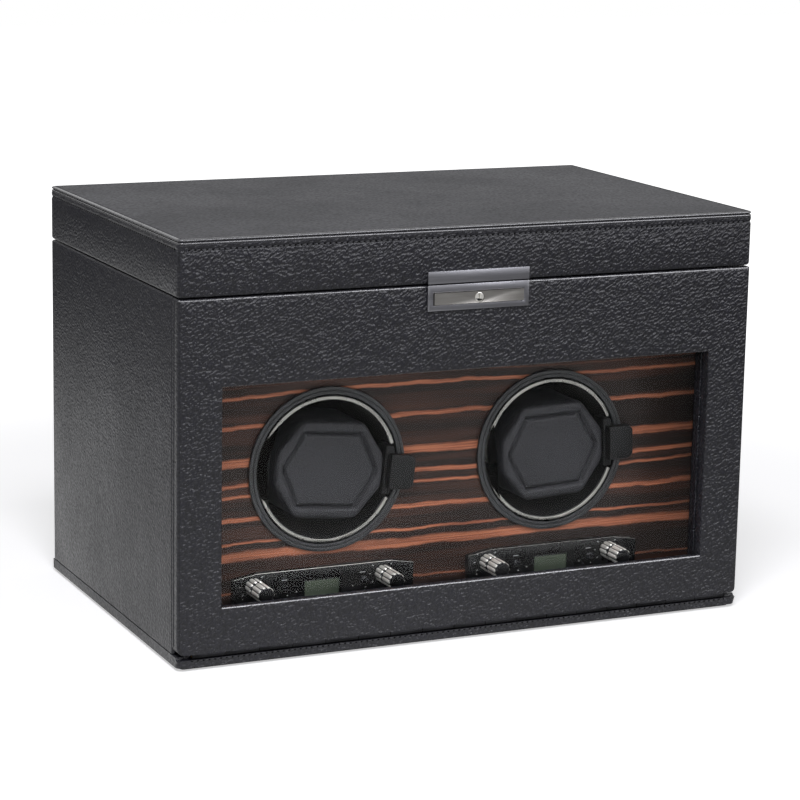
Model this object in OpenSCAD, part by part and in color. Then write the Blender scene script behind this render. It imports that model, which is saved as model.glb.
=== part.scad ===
// Watch winder box for two watches: a leather-covered cabinet with a lift-up lid over a
// storage tray, a glazed drop-front door, and two belt-driven winding drums in an ebony
// fascia, each with its own control panel.
// X is the width, -Y is the front and +Z is up. The origin is the middle of the
// footprint, on the table. All sizes are in millimetres.

/* [Cabinet] */
// Width of the cabinet
box_w = 336; // [320:1:380]
// Depth of the cabinet, without the lock and the hinge barrels
box_d = 210; // [200:1:240]
// Height of the cabinet with its lid closed
box_h = 226; // [222:1:250]
// Thickness of the side panels
side_t = 8; // [6:0.5:9]
// Thickness of the back panel
back_t = 8; // [6:0.5:10]
// Thickness of the base panel
base_t = 5.5; // [5:0.5:6]
// Thickness of the felt pad under the base
pad_t = 1.5; // [1:0.5:3]
// Distance that the felt pad stays inside the base's edges
pad_inset = 3; // [1:0.5:8]

/* [Lid] */
// Height of the lid with its top panel
lid_h = 30; // [26:1:34]
// Gap between the lid and the cabinet
lid_gap = 0.8; // [0.7:0.1:1.2]
// Thickness of the lid's side walls
lid_wall = 8; // [6:0.5:8]
// Thickness of the lid's top board
lid_board_t = 6; // [4:0.5:7]
// Thickness of the padded top panel on the lid
lid_top_t = 3.5; // [2.5:0.5:5]
// Thickness of the padded liner inside the lid
lid_liner_t = 2.5; // [1.5:0.5:4]
// Plan radius of the lid's corners
lid_corner_r = 3; // [1:0.5:5]

/* [Door] */
// Thickness of the door panel
door_t = 8.5; // [8:0.5:9]
// Gap behind the door panel and behind the glass retainer
door_clear = 0.5; // [0.4:0.1:1]
// Gap under the door
door_gap = 0.8; // [0.6:0.1:1.2]
// Width of the door on each side of its window
door_stile_w = 24.5; // [23.5:0.5:30]
// Height of the window
window_h = 116.4; // [110:0.1:120]
// Height of the window's lower edge above the table
window_z = 32.3; // [31:0.1:34]
// Thickness of the glass
glass_t = 2; // [1.5:0.5:3]
// Overlap of the glass behind the window's edges
glass_lap = 3; // [2:0.5:5]
// Thickness of the retainer behind the glass
retainer_t = 4.5; // [3:0.5:5]
// Width of the retainer's frame round the window
retainer_w = 13; // [9:0.5:14]

/* [Storage tray] */
// Height of the deck's underside above the table
deck_z = 150; // [146:1:152]
// Thickness of the deck
deck_t = 5; // [4:0.5:7]
// Thickness of the rail in front of the tray
rail_t = 5.5; // [4:0.5:7]
// Height of the tray
tray_h = 37; // [30:1:39]
// Thickness of the tray's walls, floor and dividers
tray_wall = 3; // [2:0.5:4]
// Gap between the tray and the cabinet
tray_clear = 0.4; // [0.2:0.1:1]
// Number of cells across the tray
tray_columns = 3; // [2:1:3]
// Width of a watch pillow
pillow_w = 70; // [50:1:76]
// Depth of a watch pillow
pillow_d = 54; // [45:1:60]
// Height of a watch pillow
pillow_h = 31; // [24:1:34]
// Length of a pillow's bevels
pillow_bevel = 9; // [4:1:12]

/* [Fascia and drums] */
// Distance from the cabinet's front to the fascia
fascia_set = 41.6; // [40:0.1:46]
// Thickness of the fascia
fascia_t = 6; // [4:0.5:8]
// Distance between the two drums' axes
drum_pitch = 135.4; // [130:0.1:140]
// Outer radius of the bezel round a drum
bezel_r = 45.5; // [45:0.1:46]
// Thickness of the bezel
bezel_t = 1.6; // [1:0.1:1.8]
// Outer radius of a drum
drum_r = 40.6; // [40:0.1:41]
// Thickness of a drum's wall
drum_wall = 2.2; // [1.8:0.1:2.4]
// Thickness of a drum's floor
drum_floor_t = 3; // [2:0.5:4]
// Length of a drum
drum_len = 55.6; // [54:0.2:60]
// Distance of a drum's rim behind the front of its bezel
drum_sink = 1.4; // [1:0.1:2]
// Radial gap between a drum and its housing
drum_gap = 0.8; // [0.6:0.1:1]
// Gap between a drum's floor and the housing's floor
drum_end_gap = 4; // [3:0.5:6]
// Thickness of a housing's wall
housing_wall = 2; // [1.5:0.1:2.2]
// Thickness of a housing's floor
housing_floor_t = 3; // [2:0.5:5]
// Thickness of the bright ring on a drum
ring_t = 1.6; // [1:0.1:2]
// Half of the angle of each gap in the bright ring
ring_gap_a = 22; // [21:0.5:24]
// Angle at which the left drum has stopped
left_turn = 5.5; // [-20:0.5:20]
// Angle at which the right drum has stopped
right_turn = -2.5; // [-20:0.5:20]

/* [Cuffs] */
// Width of a cuff's pad across its two points
cuff_w = 64.7; // [60:0.1:65]
// Height of a cuff's pad
cuff_h = 55.5; // [50:0.1:58]
// Width of the flat edges above and below a cuff's pad
cuff_flat = 37; // [30:1:42]
// Length of a cuff's pad along the drum's axis
cuff_d = 42; // [36:1:50]
// Distance that a cuff's pad stands out of its drum
cuff_proud = 5.4; // [4:0.1:6]
// Height of the beam through a cuff
beam_h = 20; // [14:1:24]
// Length of the beam along the drum's axis
beam_d = 18; // [12:1:24]
// Height of the end plates on the beam
end_plate_h = 27.2; // [24:0.1:28]
// Depth of the notches in a drum's rim
notch_d = 10; // [6:1:12]
// Height of a lock tab
tab_h = 19.2; // [14:0.1:20]
// Thickness of a lock tab
tab_t = 4.4; // [2.5:0.1:4.5]
// Distance from a drum's axis to the outer end of its lock tab
tab_reach = 49.8; // [47:0.1:51]
// Distance from a drum's axis to the inner end of its lock tab
tab_inner = 35; // [35:0.1:36]
// Chamfer on a lock tab's outer corners
tab_chamfer = 2.5; // [1:0.5:4]
// Gap between a lock tab and the bezel behind it
tab_gap = 0.3; // [0.2:0.1:0.5]

/* [Drive] */
// Radius of a drum's spindle
spindle_r = 3; // [2.5:0.1:3.5]
// Radial running clearance of shafts in their bores
run_clear = 0.05; // [0.02:0.01:0.09]
// Outer radius of a bearing
bearing_r = 6; // [5:0.5:7]
// Length of the bearing boss behind a housing's floor
boss_len = 9; // [6:1:14]
// Radius of the bearing boss
boss_r = 9; // [8:0.5:10]
// Belt seat radius of a drum's pulley
drum_pulley_r = 15; // [13:0.5:16]
// Belt seat radius of a motor's pulley
motor_pulley_r = 5; // [4.5:0.5:6]
// Height of the pulleys' flanges over the belt seat
pulley_flange = 2; // [1.6:0.1:2.5]
// Width of the pulleys
pulley_w = 6; // [5:0.5:8]
// Width of a pulley's flanges
flange_t = 1; // [0.8:0.1:1.2]
// Distance from a housing's back to its pulleys
pulley_stand = 32; // [30:1:36]
// Thickness of a belt
belt_t = 1.2; // [0.8:0.1:1.4]
// Gap between a belt and what it runs on
belt_gap = 0.3; // [0.3:0.05:0.4]
// Distance of a motor below its drum's axis
motor_drop = 32; // [31:0.5:34]
// Radius of a motor
motor_r = 12; // [10:0.5:12.5]
// Length of a motor
motor_len = 25; // [20:1:27]
// Radius of a motor's shaft
motor_shaft_r = 1.5; // [1:0.1:2]
// Length of the motor's shaft inside the motor
motor_shaft_in = 8; // [6:1:12]

/* [Controls] */
// Width of a control panel
panel_w = 106; // [100:1:112]
// Distance between the middles of the two control panels
panel_pitch = 139.6; // [138:0.2:142]
// Height of a control panel
panel_h = 23; // [22:0.5:23]
// Height of a control panel's lower edge above the table
panel_z = 14; // [13:0.5:14.5]
// Distance that a control panel stands out of the fascia
panel_t = 4; // [3:0.5:5]
// Drop of the panel's top edge at its ends
panel_drop = 2.4; // [1:0.2:4]
// Width of the sloping stretch at each end of the panel's top
panel_slope = 14; // [8:1:18]
// Width of the case behind a control panel
case_w = 96; // [92:1:97]
// Height of the case behind a control panel
case_h = 17; // [16:0.5:18]
// Depth of the case behind the fascia's front
case_d = 12; // [10:0.5:16]
// Gap round the case in the fascia
case_clear = 0.3; // [0.2:0.1:0.6]
// Width of a display
display_w = 21.6; // [16:0.2:24]
// Height of a display
display_h = 10.8; // [10:0.2:13]
// Thickness of a display
display_t = 2.6; // [2:0.2:3]
// Height of a display's centre above the panel's lower edge
display_z = 11.2; // [10:0.1:13]
// Distance of a display's centre to the left of the panel's middle
display_left = 1.5; // [0:0.1:3]
// Distance that a display lies below the panel's face
display_sink = 0.3; // [0.1:0.1:0.6]
// Distance of the left dial from the panel's middle
dial_left = 42; // [36:0.5:44]
// Distance of the right dial from the panel's middle
dial_right = 34; // [33:0.5:44]
// Height of a dial's axis above the panel's lower edge
dial_z = 16.5; // [15:0.5:17]
// Radius of a dial
dial_r = 4.9; // [4:0.1:5]
// Length of a dial
dial_len = 20; // [8:0.5:22]
// Number of flutes on a dial
dial_flutes = 8; // [6:1:10]
// Radius of a dial's flutes
flute_r = 1; // [0.6:0.1:1.2]
// Radius of a dial's shaft
dial_shaft_r = 1.5; // [1:0.1:2]
// Gap between a dial and its panel
dial_gap = 0.3; // [0.2:0.1:0.6]
// Distance of a button from the panel's middle
button_x = 23.5; // [20:0.5:26]
// Height of a button's axis above the panel's lower edge
button_z = 13.5; // [10:0.5:15]
// Radius of a button
button_r = 2.2; // [1.5:0.1:2.6]
// Distance that a button stands out of its panel
button_proud = 1.2; // [1:0.1:2]
// Depth of a button inside its panel
button_deep = 2.4; // [2:0.1:3]
// Travel of a button
button_travel = 0.8; // [0.5:0.1:0.9]

/* [Lock] */
// Width of the lock plate and of the keeper plate
plate_w = 59.4; // [56:0.2:66]
// Height of the lock plate on the door
lock_plate_h = 13.7; // [12:0.1:15]
// Height of the keeper plate on the lid
keeper_plate_h = 6.5; // [5:0.1:9]
// Thickness of both plates
plate_t = 1.2; // [0.8:0.1:1.6]
// Width of the push bar
bar_w = 52.4; // [48:0.2:54]
// Height of the push bar
bar_h = 6.2; // [6:0.1:7]
// Thickness of the push bar
bar_t = 4.4; // [4:0.1:4.8]
// Distance that the push bar stands out of the lock plate
bar_proud = 1; // [0.6:0.1:1.5]
// Distance of the push bar's middle below the cabinet's top edge
bar_drop = 7.3; // [6.5:0.1:8]
// Gap round the push bar
bar_clear = 0.4; // [0.2:0.1:0.6]
// Travel of the push bar
bar_travel = 1.5; // [1:0.1:1.5]
// Depth of the lock's pocket in the door
lock_pocket_d = 6.8; // [6.8:0.1:7]
// Thickness of the lock's back plate
lock_back_t = 2.2; // [1.8:0.1:2.3]
// Radius of the key cylinder
key_r = 2.6; // [2.2:0.1:2.7]
// Distance that the key cylinder stays behind the push bar's face
key_sink = 0.2; // [0:0.1:0.5]
// Thickness of the lock's cam
cam_t = 1.3; // [1:0.1:1.6]
// Width of the cam's arm
cam_w = 3.6; // [3:0.1:4]
// Length of the cam from the key's axis
cam_len = 13.5; // [13:0.1:14]
// Length of the cam's hooked tip
cam_tip = 5.2; // [4:0.1:5.4]
// Thickness of the cam's hooked tip
cam_tip_t = 2; // [1.5:0.1:2.3]
// Gap between the cam and what it passes
cam_gap = 0.3; // [0.2:0.05:0.4]

/* [Hinges] */
// Radius of the lid hinges' knuckles
lid_knuckle_r = 2.2; // [2:0.1:2.4]
// Length of a lid hinge
lid_hinge_len = 40; // [30:1:60]
// Distance of a lid hinge's middle from the cabinet's side
lid_hinge_in = 68; // [50:1:90]
// Number of knuckles on a lid hinge
lid_knuckles = 5; // [3:2:7]
// Thickness of the lid hinges' leaves
lid_leaf_t = 0.8; // [0.6:0.1:1]
// Depth of the lid hinges' leaves
lid_leaf_d = 7; // [5:0.5:7]
// Radius of the lid hinges' pins
lid_pin_r = 1; // [0.8:0.1:1.2]
// Radius of the door hinge's knuckles
door_knuckle_r = 1.5; // [1.3:0.1:1.5]
// Distance of the door hinge's ends from the cabinet's sides
door_hinge_in = 8; // [6:0.5:24]
// Number of knuckles on the door hinge
door_knuckles = 17; // [11:2:25]
// Distance of the door hinge's axis behind the door's face
door_axis_in = 1.5; // [1.5:0.1:1.8]
// Height of the door hinge's axis above the base panel
door_axis_up = 0.4; // [0.3:0.05:0.5]
// Thickness of the door hinge's leaves
door_leaf_t = 0.8; // [0.6:0.1:1]
// Depth of the door hinge's leaves
door_leaf_d = 12; // [8:0.5:13]
// Radius of the door hinge's pin
door_pin_r = 0.7; // [0.5:0.1:0.8]
// Gap between neighbouring knuckles
knuckle_gap = 0.3; // [0.2:0.05:0.5]
// Gap between a hinge barrel and the wood round it
barrel_gap = 0.3; // [0.2:0.05:0.4]

/* [Power] */
// Distance of the power socket from the cabinet's side
jack_in = 48; // [30:1:80]
// Height of the power socket above the table
jack_z = 26; // [20:1:40]
// Outer radius of the power socket's body
jack_r = 5.5; // [5:0.1:6]
// Radius of the power socket's flange
jack_flange_r = 7.5; // [7:0.1:9]
// Thickness of the power socket's flange
jack_flange_t = 1.2; // [0.8:0.1:1.8]
// Radius of the hole for the plug
jack_hole_r = 2.8; // [2.7:0.05:2.9]
// Depth of the hole for the plug
jack_hole_d = 10; // [9:0.5:12]
// Radius of the power socket's centre contact
jack_contact_r = 1; // [0.8:0.05:1.1]
// Length of the power socket behind the back panel's outside
jack_len = 16; // [14:0.5:20]
// Length of the circuit board
board_w = 110; // [90:1:130]
// Depth of the circuit board
board_d = 44; // [36:1:50]
// Thickness of the circuit board
board_t = 1.6; // [1.2:0.2:2]
// Height of the circuit board's feet
board_foot_h = 6; // [4:0.5:10]
// Distance of the circuit board from the back panel
board_back = 8; // [5:1:14]

/* [Hidden] */
$fn = 64;

base_top = pad_t + base_t;
body_top = box_h - lid_h - lid_gap;
lid_bottom = box_h - lid_h;
lid_top_z = box_h - lid_top_t;
inner_w = box_w - 2 * side_t;
window_w = box_w - 2 * door_stile_w;
lid_hinge_x = box_w / 2 - lid_hinge_in;
door_hinge_len = box_w - 2 * door_hinge_in;
jack_x = box_w / 2 - jack_in;

front_y = -box_d / 2;
back_y = box_d / 2;
back_in_y = back_y - back_t;
door_back_y = front_y + door_t;
shell_front_y = door_back_y + door_clear;
retainer_back_y = door_back_y + retainer_t;
bay_front_y = retainer_back_y + door_clear;
tray_front_y = bay_front_y + rail_t;
fascia_y = front_y + fascia_set;
fascia_back_y = fascia_y + fascia_t;
bezel_y = fascia_y - bezel_t;
drum_y = bezel_y + drum_sink;
ring_y = drum_y - ring_t;
drum_back_y = drum_y + drum_len;
housing_floor_y = drum_back_y + drum_end_gap;
housing_back_y = housing_floor_y + housing_floor_t;
pulley_y = housing_back_y + pulley_stand;
panel_y = fascia_y - panel_t;

door_z = base_top + door_gap;
window_top = window_z + window_h;
drum_z = window_z + window_h / 2;
drum_in_r = drum_r - drum_wall;
housing_in_r = drum_r + drum_gap;
housing_r = housing_in_r + housing_wall;

lock_z = body_top - bar_drop;
cam_y = door_back_y + cam_gap;
keeper_z = lock_z + cam_len - cam_tip_t - cam_gap;

lid_axis_z = (body_top + lid_bottom) / 2;
door_axis_y = front_y + door_axis_in;
door_axis_z = base_top + door_axis_up;
door_sweep_r = norm([door_axis_in, door_gap - door_axis_up]) + barrel_gap;

// A box between two corners
module block(low, high) {
    translate(low) cube(high - low);
}

// A round bar along Y from y0 to y1
module bar_y(r, y0, y1, x = 0, z = 0) {
    translate([x, y0, z]) rotate([-90, 0, 0]) cylinder(r = r, h = y1 - y0);
}

// A round bar along X from x0 to x1
module bar_x(r, x0, x1, y, z) {
    translate([x0, y, z]) rotate([0, 90, 0]) cylinder(r = r, h = x1 - x0);
}

// A tube along Y from y0 to y1
module tube_y(r_out, r_in, y0, y1) {
    difference() {
        bar_y(r_out, y0, y1);
        bar_y(r_in, y0 - 1, y1 + 1);
    }
}

// An outline in the X-Z plane drawn from y0 back to y1
module plate_y(y0, y1) {
    translate([0, y1, 0]) rotate([90, 0, 0]) linear_extrude(y1 - y0) children();
}

// A flat board with rounded corners in plan
module board(w, d, z0, z1, r) {
    block([-w / 2 + r, -d / 2, z0], [w / 2 - r, d / 2, z1]);
    block([-w / 2, -d / 2 + r, z0], [w / 2, d / 2 - r, z1]);
    for (x = [-1, 1], y = [-1, 1])
        translate([x * (w / 2 - r), y * (d / 2 - r), z0]) cylinder(r = r, h = z1 - z0);
}

// Puts its child on a drum's axis; side is -1 for the left drum and 1 for the right
module on_drum(side) {
    translate([side * drum_pitch / 2, 0, drum_z]) children();
}

// Turns its child with a drum that has stopped at its own angle
module with_drum(side) {
    on_drum(side) rotate([0, side < 0 ? left_turn : right_turn, 0]) children();
}

// Puts its child at the lower middle of a control panel
module on_panel(side) {
    translate([side * panel_pitch / 2, 0, panel_z]) children();
}

// ---- Cabinet ----

module base_pad() {
    corner_r = 2;
    color("#26262a") board(box_w - 2 * pad_inset, box_d - 2 * pad_inset, 0, pad_t, corner_r);
}

module base_panel() {
    color("#1c1d20") difference() {
        block([-box_w / 2, front_y, pad_t], [box_w / 2, back_y, base_top]);
        bar_x(door_sweep_r, -box_w / 2 - 1, box_w / 2 + 1, door_axis_y, door_axis_z);
        block([-box_w / 2 - 1, front_y - 1, door_axis_z - door_axis_in - barrel_gap],
              [box_w / 2 + 1, door_axis_y, base_top + 1]);
        block([-door_hinge_len / 2, door_axis_y, base_top - door_leaf_t],
              [door_hinge_len / 2, door_axis_y + door_leaf_d, base_top + 1]);
    }
}

module side_panel(side) {
    x0 = side < 0 ? -box_w / 2 : inner_w / 2;
    color("#1c1d20")
        block([x0, shell_front_y, base_top], [x0 + side_t, back_y, body_top]);
}

module back_panel() {
    color("#1c1d20") difference() {
        block([-inner_w / 2, back_in_y, base_top], [inner_w / 2, back_y, body_top]);
        bar_y(jack_r, back_in_y - 1, back_y + 1, jack_x, jack_z);
        for (side = [-1, 1]) translate([side * lid_hinge_x, 0, 0]) {
            bar_x(lid_knuckle_r + barrel_gap, -lid_hinge_len / 2 - barrel_gap,
                  lid_hinge_len / 2 + barrel_gap, back_y, lid_axis_z);
            block([-lid_hinge_len / 2, back_y - lid_leaf_d, body_top - lid_leaf_t],
                  [lid_hinge_len / 2, back_y + 1, body_top + 1]);
        }
    }
}

module deck() {
    color("#202024")
        block([-inner_w / 2, bay_front_y, deck_z], [inner_w / 2, back_in_y, deck_z + deck_t]);
}

module tray_rail() {
    color("#202024")
        block([-inner_w / 2, bay_front_y, deck_z + deck_t], [inner_w / 2, tray_front_y, body_top]);
}

// ---- Storage tray ----

tray_x = inner_w / 2 - tray_clear;
tray_y0 = tray_front_y + tray_clear;
tray_y1 = back_in_y - tray_clear;
tray_z0 = deck_z + deck_t;
cell_w = (2 * tray_x - (tray_columns + 1) * tray_wall) / tray_columns;
cell_d = (tray_y1 - tray_y0 - 3 * tray_wall) / 2;
function cell_x(i) = -tray_x + tray_wall + i * (cell_w + tray_wall);
function cell_y(row) = tray_y0 + tray_wall + row * (cell_d + tray_wall);

module storage_tray() {
    color("#3a3a3e") difference() {
        block([-tray_x, tray_y0, tray_z0], [tray_x, tray_y1, tray_z0 + tray_h]);
        for (i = [0 : tray_columns - 1], row = [0, 1])
            translate([cell_x(i), cell_y(row), tray_z0 + tray_wall])
                cube([cell_w, cell_d, tray_h]);
    }
}

// One pillow in each cell of the front row, with long bevels on its upper and lower edges
module watch_pillows() {
    b = pillow_bevel;
    outline = [[-pillow_d / 2 + b, 0], [pillow_d / 2 - b, 0], [pillow_d / 2, b],
               [pillow_d / 2, pillow_h - b], [pillow_d / 2 - b, pillow_h],
               [-pillow_d / 2 + b, pillow_h], [-pillow_d / 2, pillow_h - b], [-pillow_d / 2, b]];
    color("#45454a") for (i = [0 : tray_columns - 1])
        translate([cell_x(i) + cell_w / 2 - pillow_w / 2, cell_y(0) + cell_d / 2,
                   tray_z0 + tray_wall])
            rotate([90, 0, 90]) linear_extrude(pillow_w) polygon(outline);
}

// ---- Fascia, housings and drive ----

module fascia() {
    color("#4a2e20") difference() {
        block([-inner_w / 2, fascia_y, base_top], [inner_w / 2, fascia_back_y, deck_z]);
        for (side = [-1, 1]) {
            on_drum(side) bar_y(housing_r, fascia_y - 1, fascia_back_y + 1);
            on_panel(side) block([-case_w / 2 - case_clear, fascia_y - 1, case_z0 - case_clear],
                [case_w / 2 + case_clear, fascia_back_y + 1, case_z0 + case_h + case_clear]);
        }
    }
}

module housing(side) {
    color("#18181a") on_drum(side) difference() {
        union() {
            tube_y(housing_r, housing_in_r, fascia_y, housing_floor_y);
            bar_y(housing_r, housing_floor_y, housing_back_y);
            bar_y(boss_r, housing_back_y, housing_back_y + boss_len);
        }
        bar_y(bearing_r, housing_floor_y - 1, housing_back_y + boss_len + 1);
    }
}

// A flat ring with a fine groove in its face
module bezel(side) {
    groove_r = (bezel_r + housing_in_r) / 2;
    groove_w = 0.5;
    groove_deep = 0.4;
    color("#202124") on_drum(side) difference() {
        tube_y(bezel_r, housing_in_r, bezel_y, fascia_y);
        tube_y(groove_r + groove_w / 2, groove_r - groove_w / 2, bezel_y - 1, bezel_y + groove_deep);
    }
}

module bearings() {
    color("#b08d57") for (side = [-1, 1]) on_drum(side)
        tube_y(bearing_r, spindle_r + run_clear, housing_floor_y, housing_back_y + boss_len);
}

module motors() {
    nose_r = 4;
    nose_len = 2;
    color("#9a9ca0") for (side = [-1, 1]) on_drum(side) translate([0, 0, -motor_drop])
        difference() {
            union() {
                bar_y(motor_r, housing_back_y, housing_back_y + motor_len);
                bar_y(nose_r, housing_back_y + motor_len, housing_back_y + motor_len + nose_len);
            }
            bar_y(motor_shaft_r + run_clear, housing_back_y + motor_len - motor_shaft_in,
                  housing_back_y + motor_len + nose_len + 1);
        }
}

// The cross-section that both belt runs and both pulley wraps share
module belt_outline(grow) {
    r0 = drum_pulley_r + belt_gap + grow;
    r1 = motor_pulley_r + belt_gap + grow;
    lean = asin((r0 - r1) / motor_drop);
    circle(r = r0);
    translate([0, -motor_drop]) circle(r = r1);
    polygon([[-r0 * cos(lean), -r0 * sin(lean)], [r0 * cos(lean), -r0 * sin(lean)],
             [r1 * cos(lean), -motor_drop - r1 * sin(lean)],
             [-r1 * cos(lean), -motor_drop - r1 * sin(lean)]]);
}

module belts() {
    y0 = pulley_y + flange_t + belt_gap;
    y1 = pulley_y + pulley_w - flange_t - belt_gap;
    color("#141414") for (side = [-1, 1]) on_drum(side) plate_y(y0, y1) difference() {
        belt_outline(belt_t);
        belt_outline(0);
    }
}

// A pulley with a flange on each side of its belt seat
module pulley(seat_r) {
    bar_y(seat_r, pulley_y, pulley_y + pulley_w);
    for (y = [pulley_y, pulley_y + pulley_w - flange_t])
        bar_y(seat_r + pulley_flange, y, y + flange_t);
}

module drum_pulley(side) {
    color("#d8d8d4") on_drum(side) difference() {
        pulley(drum_pulley_r);
        bar_y(spindle_r, pulley_y - 1, pulley_y + pulley_w + 1);
    }
}

module motor_pulley(side) {
    end_gap = 0.2;
    shaft_y = housing_back_y + motor_len - motor_shaft_in + end_gap;
    color("#c8b070") on_drum(side) translate([0, 0, -motor_drop]) {
        pulley(motor_pulley_r);
        bar_y(motor_shaft_r, shaft_y, pulley_y);
    }
}

// ---- Drums and cuffs ----

// The wedge of a notch in a drum's rim, on its left (180) or right (0)
module notch(a, y0, y1) {
    reach = 2 * drum_r;
    half = reach * tan(ring_gap_a);
    rotate([0, a, 0]) plate_y(y0, y1) polygon([[0, 0], [reach, -half], [reach, half]]);
}

// A cup with a spindle behind its floor and a notch for each end of the cuff
module drum(side) {
    hub_r = 8;
    hub_gap = 0.5;
    color("#1a1a1c") with_drum(side) {
        difference() {
            bar_y(drum_r, drum_y, drum_back_y);
            bar_y(drum_in_r, drum_y - 1, drum_back_y - drum_floor_t);
            for (a = [0, 180]) notch(a, drum_y - 1, drum_y + notch_d);
        }
        bar_y(hub_r, drum_back_y, housing_floor_y - hub_gap);
        bar_y(spindle_r, drum_back_y, pulley_y + pulley_w + 1);
    }
}

// The bright ring: open where the tab crosses it, and a thin line past the other end
module drum_ring(side) {
    line_t = 0.6;
    color("#d9dadc") with_drum(side) difference() {
        tube_y(drum_r, drum_in_r, ring_y, drum_y);
        notch(0, ring_y - 1, drum_y + 1);
        intersection() {
            notch(180, ring_y - 1, drum_y + 1);
            bar_y(drum_r - line_t, ring_y - 2, drum_y + 2);
        }
    }
}

// Where the beam's front lies, just inside the notches' depth
beam_y0 = drum_y + notch_d - 2;

// A beam through the pad with an end plate in each notch; the right one ends behind the tab
module cuff_frame(side) {
    plate_x = cuff_w / 2 + 1;
    rim_gap = 0.3;
    color("#111113") with_drum(side) {
        block([-plate_x, beam_y0, -beam_h / 2], [plate_x, beam_y0 + beam_d, beam_h / 2]);
        intersection() {
            bar_y(drum_r - rim_gap, bezel_y, drum_y + notch_d);
            union() {
                block([-drum_r, drum_y, -end_plate_h / 2],
                      [-plate_x, drum_y + notch_d, end_plate_h / 2]);
                block([plate_x, bezel_y, -end_plate_h / 2],
                      [drum_r, drum_y + notch_d, end_plate_h / 2]);
            }
        }
    }
}

// A six-sided pad, pointed at its left and right, with a channel for the beam
module cuff_pad(side) {
    y0 = drum_y - cuff_proud;
    point = 9;
    color("#242427") with_drum(side) difference() {
        plate_y(y0, y0 + cuff_d) polygon([
            [-cuff_flat / 2, cuff_h / 2], [cuff_flat / 2, cuff_h / 2],
            [cuff_w / 2, point], [cuff_w / 2, -point],
            [cuff_flat / 2, -cuff_h / 2], [-cuff_flat / 2, -cuff_h / 2],
            [-cuff_w / 2, -point], [-cuff_w / 2, point]]);
        block([-cuff_w, beam_y0, -beam_h / 2], [cuff_w, beam_y0 + beam_d, beam_h / 2]);
    }
}

module lock_tab(side) {
    c = tab_chamfer;
    y1 = bezel_y - tab_gap;
    color("#0e0e10") with_drum(side) plate_y(y1 - tab_t, y1) polygon([
        [tab_inner, -tab_h / 2], [tab_reach - c, -tab_h / 2], [tab_reach, -tab_h / 2 + c],
        [tab_reach, tab_h / 2 - c], [tab_reach - c, tab_h / 2], [tab_inner, tab_h / 2]]);
}

// ---- Control panels ----

// Height of the case's underside above the panel's lower edge
case_z0 = 2;

// A low plate whose top edge slopes down at its ends, with a case behind it
module control_panel(side) {
    end_gap = 0.2;
    face = [[-panel_w / 2, 0], [panel_w / 2, 0], [panel_w / 2, panel_h - panel_drop],
            [panel_w / 2 - panel_slope, panel_h], [-panel_w / 2 + panel_slope, panel_h],
            [-panel_w / 2, panel_h - panel_drop]];
    color("#0c0c0e") on_panel(side) difference() {
        union() {
            plate_y(panel_y, fascia_y) polygon(face);
            block([-case_w / 2, fascia_y, case_z0], [case_w / 2, fascia_y + case_d, case_z0 + case_h]);
        }
        display_block(panel_y - 1, panel_y + display_sink + display_t);
        for (x = [-dial_left, dial_right])
            bar_y(dial_shaft_r + run_clear, panel_y - 1, fascia_y + case_d / 2, x, dial_z);
        for (x = [-button_x, button_x])
            bar_y(button_r + run_clear, panel_y - 1,
                  panel_y + button_deep + button_travel + end_gap, x, button_z);
    }
}

module display_block(y0, y1) {
    block([-display_left - display_w / 2, y0, display_z - display_h / 2],
          [-display_left + display_w / 2, y1, display_z + display_h / 2]);
}

module displays() {
    y0 = panel_y + display_sink;
    color("#6f7d6a") for (side = [-1, 1]) on_panel(side) display_block(y0, y0 + display_t);
}

// A fluted knob with a groove round it, on a shaft
module dial(side, x) {
    y1 = panel_y - dial_gap;
    y0 = y1 - dial_len;
    waist_deep = 0.8;
    waist_w = 1.2;
    waist_y = y1 - 0.45 * dial_len;
    end_gap = 0.5;
    color("#d5d6d8") on_panel(side) translate([x, 0, dial_z]) {
        difference() {
            bar_y(dial_r, y0, y1);
            for (i = [0 : dial_flutes - 1]) rotate([0, i * 360 / dial_flutes, 0])
                bar_y(flute_r, y0 - 1, y1 + 1, dial_r + flute_r / 3, 0);
            translate([0, waist_y - waist_w / 2, 0])
                tube_y(dial_r + 1, dial_r - waist_deep, 0, waist_w);
        }
        bar_y(dial_shaft_r, y1, fascia_y + case_d / 2 - end_gap);
    }
}

module button(side, x) {
    color("#1b1b1e") on_panel(side)
        bar_y(button_r, panel_y - button_proud, panel_y + button_deep, x, button_z);
}

// ---- Door ----

module door_panel() {
    color("#1c1d20") difference() {
        block([-box_w / 2, front_y, door_z], [box_w / 2, door_back_y, body_top]);
        block([-window_w / 2, front_y - 1, window_z], [window_w / 2, door_back_y + 1, window_top]);
        block([-window_w / 2 - glass_lap, door_back_y - glass_t, window_z - glass_lap],
              [window_w / 2 + glass_lap, door_back_y + 1, window_top + glass_lap]);
        bar_x(door_knuckle_r + barrel_gap, -box_w / 2 - 1, box_w / 2 + 1, door_axis_y, door_axis_z);
        block([-door_hinge_len / 2, door_axis_y - door_leaf_t / 2, door_z - 1],
              [door_hinge_len / 2, door_axis_y + door_leaf_t / 2, door_axis_z + door_leaf_d]);
        lock_pocket(0);
        bar_y(key_r + 2 * bar_clear, front_y, door_back_y + 1, 0, lock_z);
    }
}

// The pocket that the lock fills, smaller all round by the given inset
module lock_pocket(inset) {
    block([-bar_w / 2 - bar_clear + inset, front_y, lock_z - bar_h / 2 - bar_clear + inset],
          [bar_w / 2 + bar_clear - inset, front_y + lock_pocket_d, lock_z + bar_h / 2 + bar_clear - inset]);
}

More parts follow.
